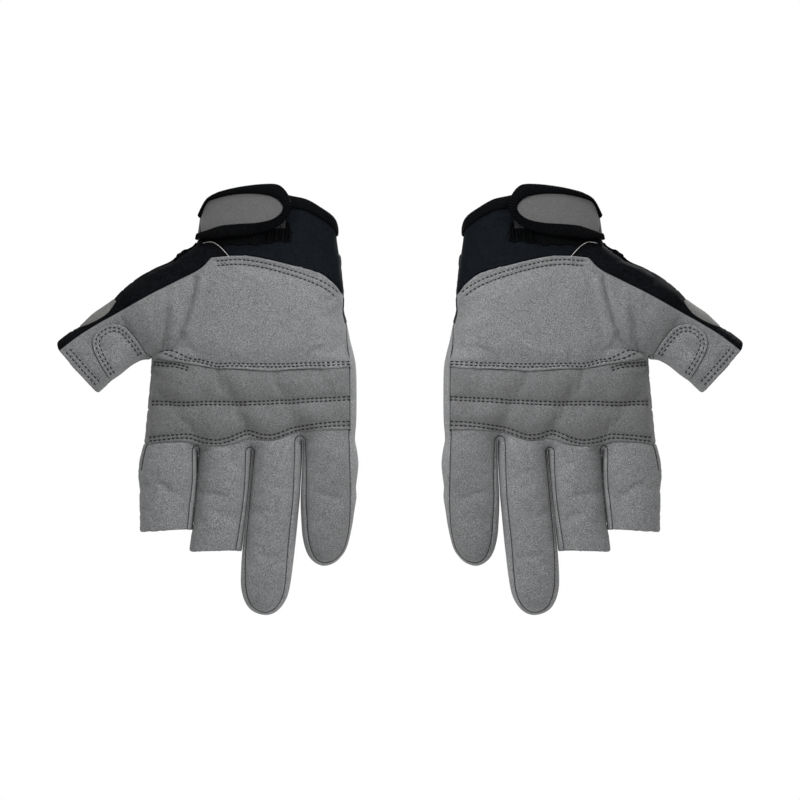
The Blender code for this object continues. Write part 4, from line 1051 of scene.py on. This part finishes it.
def wrist_pieces():
    # the cuff: a sleeve that runs down inside the hand's panels
    psi = even_psi(200)[:-1]
    rim, low = cuff_rim(psi), cuff_low(psi)
    t = np.linspace(0, 1, 34)
    v = rim[:, None] + (low - rim)[:, None] * t
    seam_v = np.where(np.sin(np.radians(psi)) >= 0, edge_v(cuff_seam, wrist(psi, -30.0)[:, 0]), -27.0)
    under = smooth(0.5, -1.5, v - seam_v[:, None])
    wave = 0.12 * np.sin(psi * 0.14)[:, None] * np.sin(v * 0.5) + 0.1 * np.sin(psi * 0.31 + 1)[:, None] * np.sin(v * 0.33 + 0.6)
    outer = wrist(np.broadcast_to(psi[:, None], v.shape), v, -1.3 * under + wave)
    sv, sf = grid(outer, closed=True)
    piece("cuff_cloth", "hand", shell(sv, face_out(sv, sf, WRIST_CORE), 2.0), "neoprene", ("cuff_sleeve",))

    # rim binding, folded over the cuff's edge
    psi = even_psi(420)[:-1]
    rim = cuff_rim(psi)
    profile = A([(-5.3, 0.15), (-5.1, 0.75), (-4.4, 1.05), (-3.0, 1.2), (-1.4, 1.15), (-0.2, 0.9), (0.6, 0.3), (0.95, -0.7), (0.7, -1.9), (0.1, -2.7), (-1.2, -3.1), (-3.2, -3.15), (-4.6, -2.9), (-4.6, -2.1), (-2.0, -1.9), (-0.6, -1.0), (-1.4, -0.1)])
    rib = 0.05 * np.cos(np.arange(len(psi)) * 2 * math.pi / 3.5)
    loops = [wrist(psi, rim + dv, off + (rib if off > 0.5 else 0)) for dv, off in profile]
    bv, bf = grid(np.stack(loops, 1), closed=True, closed_v=True)
    ring_core = wrist(psi, rim - 2.0, -1.0)
    face = np.cross(bv[bf[:, 1]] - bv[bf[:, 0]], bv[bf[:, 2]] - bv[bf[:, 0]])
    local = bv[bf].mean(1) - ring_core[np.minimum(bf[:, 0] // len(profile), len(psi) - 1)]
    if (face * local).sum() < 0:
        bf = bf[:, ::-1]
    piece("cuff_rim_binding", "hand", (bv, bf), "binding", ("cuff_binding",))

    # the gathered elastic below the strap, and the pleats beside the strap's end
    base = even_psi(330, 4, 103.5)
    pitch = arc(wrist(base, -16.0)[:, [0, 2]])
    a = wrist(base, -16.0)[:, 0]
    top = -17.2 + 5.4 * smooth(68, 64, a) * smooth(53.5, 56.5, a)
    bottom = -22.4 + 0.35 * np.sin(pitch * 0.9) + 1.6 * smooth(72, 58, a)
    t = np.linspace(0, 1, 15)
    v = top[:, None] + (bottom - top)[:, None] * t
    fade = np.sin(math.pi * t) ** 0.5
    pleat = (0.42 * np.cos(pitch * 2 * math.pi / 1.75) + 0.22 * np.cos(pitch * 2 * math.pi / 1.13 + 1))[:, None] * fade
    pleat = pleat * (0.2 + 1.1 * smooth(69.5, 66, a))[:, None]
    outer = wrist(np.broadcast_to(base[:, None], v.shape), v, 0.75 + pleat)
    ev, ef = grid(outer)
    piece("gathered_elastic", "hand", shell(ev, face_out(ev, ef, WRIST_CORE), 1.0), "binding", ("wrist_elastic",))

    # the strap: a suede tab with a rolled, ribbed binding, which runs on round the thumb side to the back
    inner, outer = spline(STRAP_INNER, 0.5), spline(STRAP_OUTER, 0.5)
    inner, outer = resample(inner, 0.3, 520), resample(outer, 0.3, 520)
    ring = chain(STRAP_TAB)
    flat, tf = region(ring, [], 1.2)
    tv = strap_at(flat, 4.35)
    tv[:, 2] += 0.1 * np.sin(flat[:, 0] * 0.5) * np.sin(flat[:, 1] * 0.7) 
    piece("strap_cloth", "strap", shell(tv, tf, 1.4), "strap", ("strap_tab",))
    piece("strap_roll", "strap", roll(inner, outer, strap_at), "binding", ("strap_binding",))
    psi = np.linspace(15.0, -72, 150)
    level = 4.5 - 1.0 * smooth(16, 0, psi) - 0.8 * smooth(0, -50, psi)
    v = np.linspace(-8.4, -16.8, 12)
    av, af = grid(wrist(np.broadcast_to(psi[:, None], (150, 12)), np.broadcast_to(v, (150, 12)), np.broadcast_to(level[:, None] - 0.15, (150, 12))))
    piece("strap_root", "hand", shell(av, face_out(av, af, WRIST_CORE), 1.4), "strap", ("strap_anchor",))
    for name, lo, hi in (("upper", -8.8, -5.6), ("lower", -16.4, -19.6)):
        rows_ = []
        path = np.linspace(15.2, -72, 380)
        length = arc(wrist(path, -10.0, 4.5)[:, [0, 2]])
        rib = 0.2 * np.cos(length * 2 * math.pi / 1.2)
        lev = 4.5 - 1.0 * smooth(16, 0, path) - 0.8 * smooth(0, -50, path)
        for q, off in SECTION:
            rows_.append(wrist(path, lo + (hi - lo) * q, lev + (off + (rib if off > 0.3 else 0)) * (1 - 0.65 * smooth(24, 8, path) * smooth(-34, -14, path))))
        rv, rf = capped(np.stack(rows_, 1))
        piece(f"strap_root_{name}_roll", "hand", (rv, rf), "binding")


SECTION = [(0.0, -0.1), (0.04, 0.65), (0.2, 1.15), (0.42, 1.4), (0.62, 1.38), (0.82, 1.05), (0.96, 0.45), (1.0, -0.3), (0.95, -1.0), (0.75, -1.5), (0.3, -1.6), (0.05, -1.4)]


def capped(rows_):
    """A closed section along a path, with both ends closed, facing out."""
    v, f = grid(rows_, closed_v=True)
    n, m = rows_.shape[:2]
    k = len(v)
    v = np.vstack([v, rows_[0].mean(0)[None], rows_[-1].mean(0)[None]])
    i = np.arange(m)
    first = np.stack([np.roll(i, -1), i, np.full(m, k)], 1)
    last = np.stack([i + (n - 1) * m, np.roll(i, -1) + (n - 1) * m, np.full(m, k + 1)], 1)
    centre = rows_.mean(1)
    face = np.cross(v[f[:, 1]] - v[f[:, 0]], v[f[:, 2]] - v[f[:, 0]])
    local = v[f].mean(1) - centre[np.minimum(f[:, 0] // m, n - 1)]
    f = np.vstack([f, first, last])
    return v, (f if (face * local).sum() > 0 else f[:, ::-1])


def roll(inner, outer, place):
    middle = (inner + outer) / 2
    s = arc(middle)
    rib = 0.28 * np.cos(s * 2 * math.pi / 1.35) * (0.3 + 0.7 * smooth(0.45, 0.55, s / s[-1]))
    rows_ = []
    for q, off in SECTION:
        rows_.append(place(inner + (outer - inner) * q, 4.55 + off + (rib if off > 0.3 else 0)))
    return capped(np.stack(rows_, 1))


strap_mid = spline(STRAP_INNER, 0.6)
STRAP_TAB = inset(col(strap_mid, -0.9), (80, -5))


# ---------------------------------------------------------------- thread
# A dark thread along a seam's groove: partly the real seam thread, partly painted shadow that darkens the seam line
# where the groove's shade falls.
def seam_thread(path, side=1, radius=0.25, sink=0.06, lift=None):
    p = resample(path[:, :2], 0.8)
    n = skin.normals(p, side)
    rise = (lift(p) if lift else 0) - sink
    points = np.column_stack([p, skin.w(p, side)]) + n * np.reshape(rise, (-1, 1))
    return tube(points, radius, 6, 0.8, n)


def thread_pieces():
    on_heel, on_over = placed(lift_heel), placed(lift_overlay)
    sewn = [stitches(on_heel, p, radius=0.32) for p in (rows["cuff"][1:-1, :2], second["cuff"][1:-1])]
    sewn += [stitches(on_heel, p) for p in (rows["heel"][1:, :2], second["heel"][3:])]
    sewn += [stitches(on_over, p) for p in (rows["middle"][:, :2], second["middle"], rows["wave"][:, :2], second["wave"], rows["crotch"][:, :2], second["crotch"])]
    piece("hand_stitches", "hand", join(sewn), "thread")
    on_patch = placed(lambda p: lift_heel(p) + lift_patch(p))
    keep_1 = u_row_1[seg_dist(u_row_1, thumb_in[:, :2]) > 2.0]
    keep_2 = u_row_2[seg_dist(u_row_2, thumb_in[:, :2]) > 2.0]
    fine = {"radius": 0.3, "pitch": 2.3}
    sewn = [stitches(on_patch, keep_1, **fine), stitches(on_patch, keep_2, **fine), stitches(on_heel, end_row_1[2:-2], **fine), stitches(on_heel, end_row_2[2:-2], **fine)]
    piece("thumb_stitches", "thumb", join(sewn), "thumb_thread")
    piece("thumb_seam_thread", "thumb", seam_thread(thumb_seam), "black_thread_and_painted_shadow")
    side = little_front[side_from:][little_all[side_from:, 1] > -116]
    side = side[side[:, 1] < -48]
    side = side + normals2(side, (0, -80)) * 0.5
    layer = lambda p: 0.8 * np.where(p[:, 1] > edge_v(heel_edge, p[:, 0]), lift_heel(p), lift_overlay(p)) * smooth(-115.5, -113.5, p[:, 1])
    piece("little_side_thread", "hand", seam_thread(side, radius=0.28, lift=layer), "black_thread_and_painted_shadow")
    piece("index_outer_thread", "index", seam_thread(index_outer, radius=0.3, sink=-0.08), "black_thread_and_painted_shadow")
    # painted shadow: dark lines at the foot of each patch's cut edge, where its shade falls
    foot = heel_edge[7:-3, :2] + normals2(heel_edge[7:-3], (75, -130)) * 0.12
    piece("heel_edge_painted_shadow", "hand", seam_thread(foot, radius=0.17, sink=-0.04, lift=lambda p: 0.9 * smooth(0.3, 5, seg_dist(p, web_wall))), "black_thread_and_painted_shadow")
    foot = u_patch[seg_dist(u_patch, thumb_in[:, :2]) > 2.2]
    foot = foot - normals2(foot, (140, -75)) * 0.2
    piece("thumb_patch_edge_painted_shadow", "thumb", seam_thread(foot, radius=0.22, sink=-0.08, lift=lift_heel), "black_thread_and_painted_shadow")
    for finger, path in (("index", index_front), ("middle", middle_front), ("ring", ring_front)):
        piece(f"{finger}_seam_thread", finger, seam_thread(path), "black_thread_and_painted_shadow")
    low = little_front[(np.arange(len(little_all)) < side_from) | (little_all[:, 1] < -114)]
    piece("little_seam_thread", "little", seam_thread(low), "black_thread_and_painted_shadow")
    back = [seam_thread(back_line, -1), seam_thread(web_rear[(web[:, 1] > -116) & (web[:, 1] < -80)], -1)]
    side = little_rear[side_from:][(little_all[side_from:, 1] > -116) & (little_all[side_from:, 1] < -61)]
    piece("back_seam_thread", "hand", join(back + [seam_thread(side, -1)]), "black_thread_and_painted_shadow")
    # one loose thread end on the cuff
    p = spline(A([(98.6, -21.6), (96.5, -21.1), (93.6, -21.2), (91.0, -22.6), (88.9, -24.4), (86.4, -27.1), (84.9, -29.0)]), 0.4)
    lifted = np.column_stack([p, np.maximum(skin.w(p, 1), wrist_at(p)[:, 2]) + 0.75])
    piece("loose_thread", "hand", tube(lifted, 0.12, 6), "light_thread")



palm_pieces()
back_pieces()
wrist_pieces()
thread_pieces()


# ---------------------------------------------------------------- objects on the frame
def bend_line(body):
    """Where a piece starts to leave the hand, and where it has left it, in (a, v)."""
    if body == "thumb":
        return CROTCH + ALONG * 2, CROTCH + ALONG * 18
    top = {"index": (116.3, -126), "middle": (88.4, -126.2), "ring": (62.2, -126.2), "little": (35.3, -121.4)}[body]
    low = {"index": (117.2, -138), "middle": (89.2, -138.2), "ring": (63.2, -138.2), "little": (35.3, -133.4)}[body]
    return A(top), A(low)


def build(side, sign):
    for name, body, (v, f), finish, stands_for in PIECES:
        mesh = bpy.data.meshes.new(f"{side}_{name}")
        points = np.column_stack([sign * v[:, 0], -v[:, 2], v[:, 1]]) * MM
        faces = f if sign > 0 else f[:, ::-1]
        mesh.from_pydata(points.tolist(), [], faces.tolist())
        mesh.validate()
        mesh.shade_smooth()
        mesh.materials.append(MAT[finish])
        obj = bpy.data.objects.new(f"{side}_{name}", mesh)
        bpy.context.scene.collection.objects.link(obj)
        bpy.context.view_layer.update()
        if body in ("hand", "strap"):
            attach(obj, f"{side}_{body}")
        else:
            start, end = bend_line(body)
            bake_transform(obj)
        if stands_for:
            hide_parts(*[f"{side}_{n}" for n in stands_for])
    for node, finish in (("loop_pad", "loop"), ("strap_hook_pad", "hook")):
        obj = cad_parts[f"{side}_{node}"]
        obj.data.materials.clear()
        obj.data.materials.append(MAT[finish])


build("right", -1)
build("left", 1)

# ---------------------------------------------------------------- stage, light and camera
scene = bpy.context.scene
world = bpy.data.worlds.new("studio")
scene.world = world
world.use_nodes = True
world.node_tree.nodes["Background"].inputs["Color"].default_value = (1, 1, 1, 1)
world.node_tree.nodes["Background"].inputs["Strength"].default_value = 1.0

mesh = bpy.data.meshes.new("floor")
turn = np.linspace(0, 2 * math.pi, 96, endpoint=False)
mesh.from_pydata([(1.25 * math.cos(t), 1.25 * math.sin(t), -0.42) for t in turn], [], [tuple(range(96))])
floor = bpy.data.objects.new("floor", mesh)
scene.collection.objects.link(floor)
mesh.materials.append(material("pale_floor", (0.86, 0.86, 0.86), grain=60, spread=0.01, blotch=0.01, rough=0.9, bump=0.02, sheen=0.0, fibre=200))


def area(name, place, aim, size, power):
    light = bpy.data.lights.new(name, "AREA")
    light.shape, light.size, light.energy = "DISK", size, power
    obj = bpy.data.objects.new(name, light)
    scene.collection.objects.link(obj)
    obj.location = place
    obj.rotation_euler = (Vector(aim) - Vector(place)).to_track_quat("-Z", "Y").to_euler()
    return obj


def spot(name, place, aim, power):
    light = bpy.data.lights.new(name, "SPOT")
    light.energy, light.shadow_soft_size = power, 0.07
    light.spot_size, light.spot_blend = math.radians(31), 1.0
    obj = bpy.data.objects.new(name, light)
    scene.collection.objects.link(obj)
    obj.location = place
    obj.rotation_euler = (Vector(aim) - Vector(place)).to_track_quat("-Z", "Y").to_euler()


area("key", (0.0, -1.0, 1.55), (0, 0, -0.1), 0.5, 38)
spot("left", (-0.35, -0.45, 0.17), (0.128, 0, -0.11), 25)
spot("right", (0.35, -0.45, 0.17), (-0.128, 0, -0.11), 25)
area("fill", (0.0, -1.9, 0.1), (0, 0, -0.1), 1.2, 3)
area("rear", (0.6, 1.7, 1.0), (0, 0, -0.1), 0.8, 45)

camera = bpy.data.cameras.new("camera")
camera.lens, camera.sensor_width = 200, 36
eye = bpy.data.objects.new("camera", camera)
scene.collection.objects.link(eye)
eye.location = (0, -200 / 36 * 0.4 - 0.012, -0.1)
eye.rotation_euler = (math.radians(90), 0, 0)
scene.camera = eye
scene.view_settings.view_transform = "Standard"
scene.view_settings.look = "None"
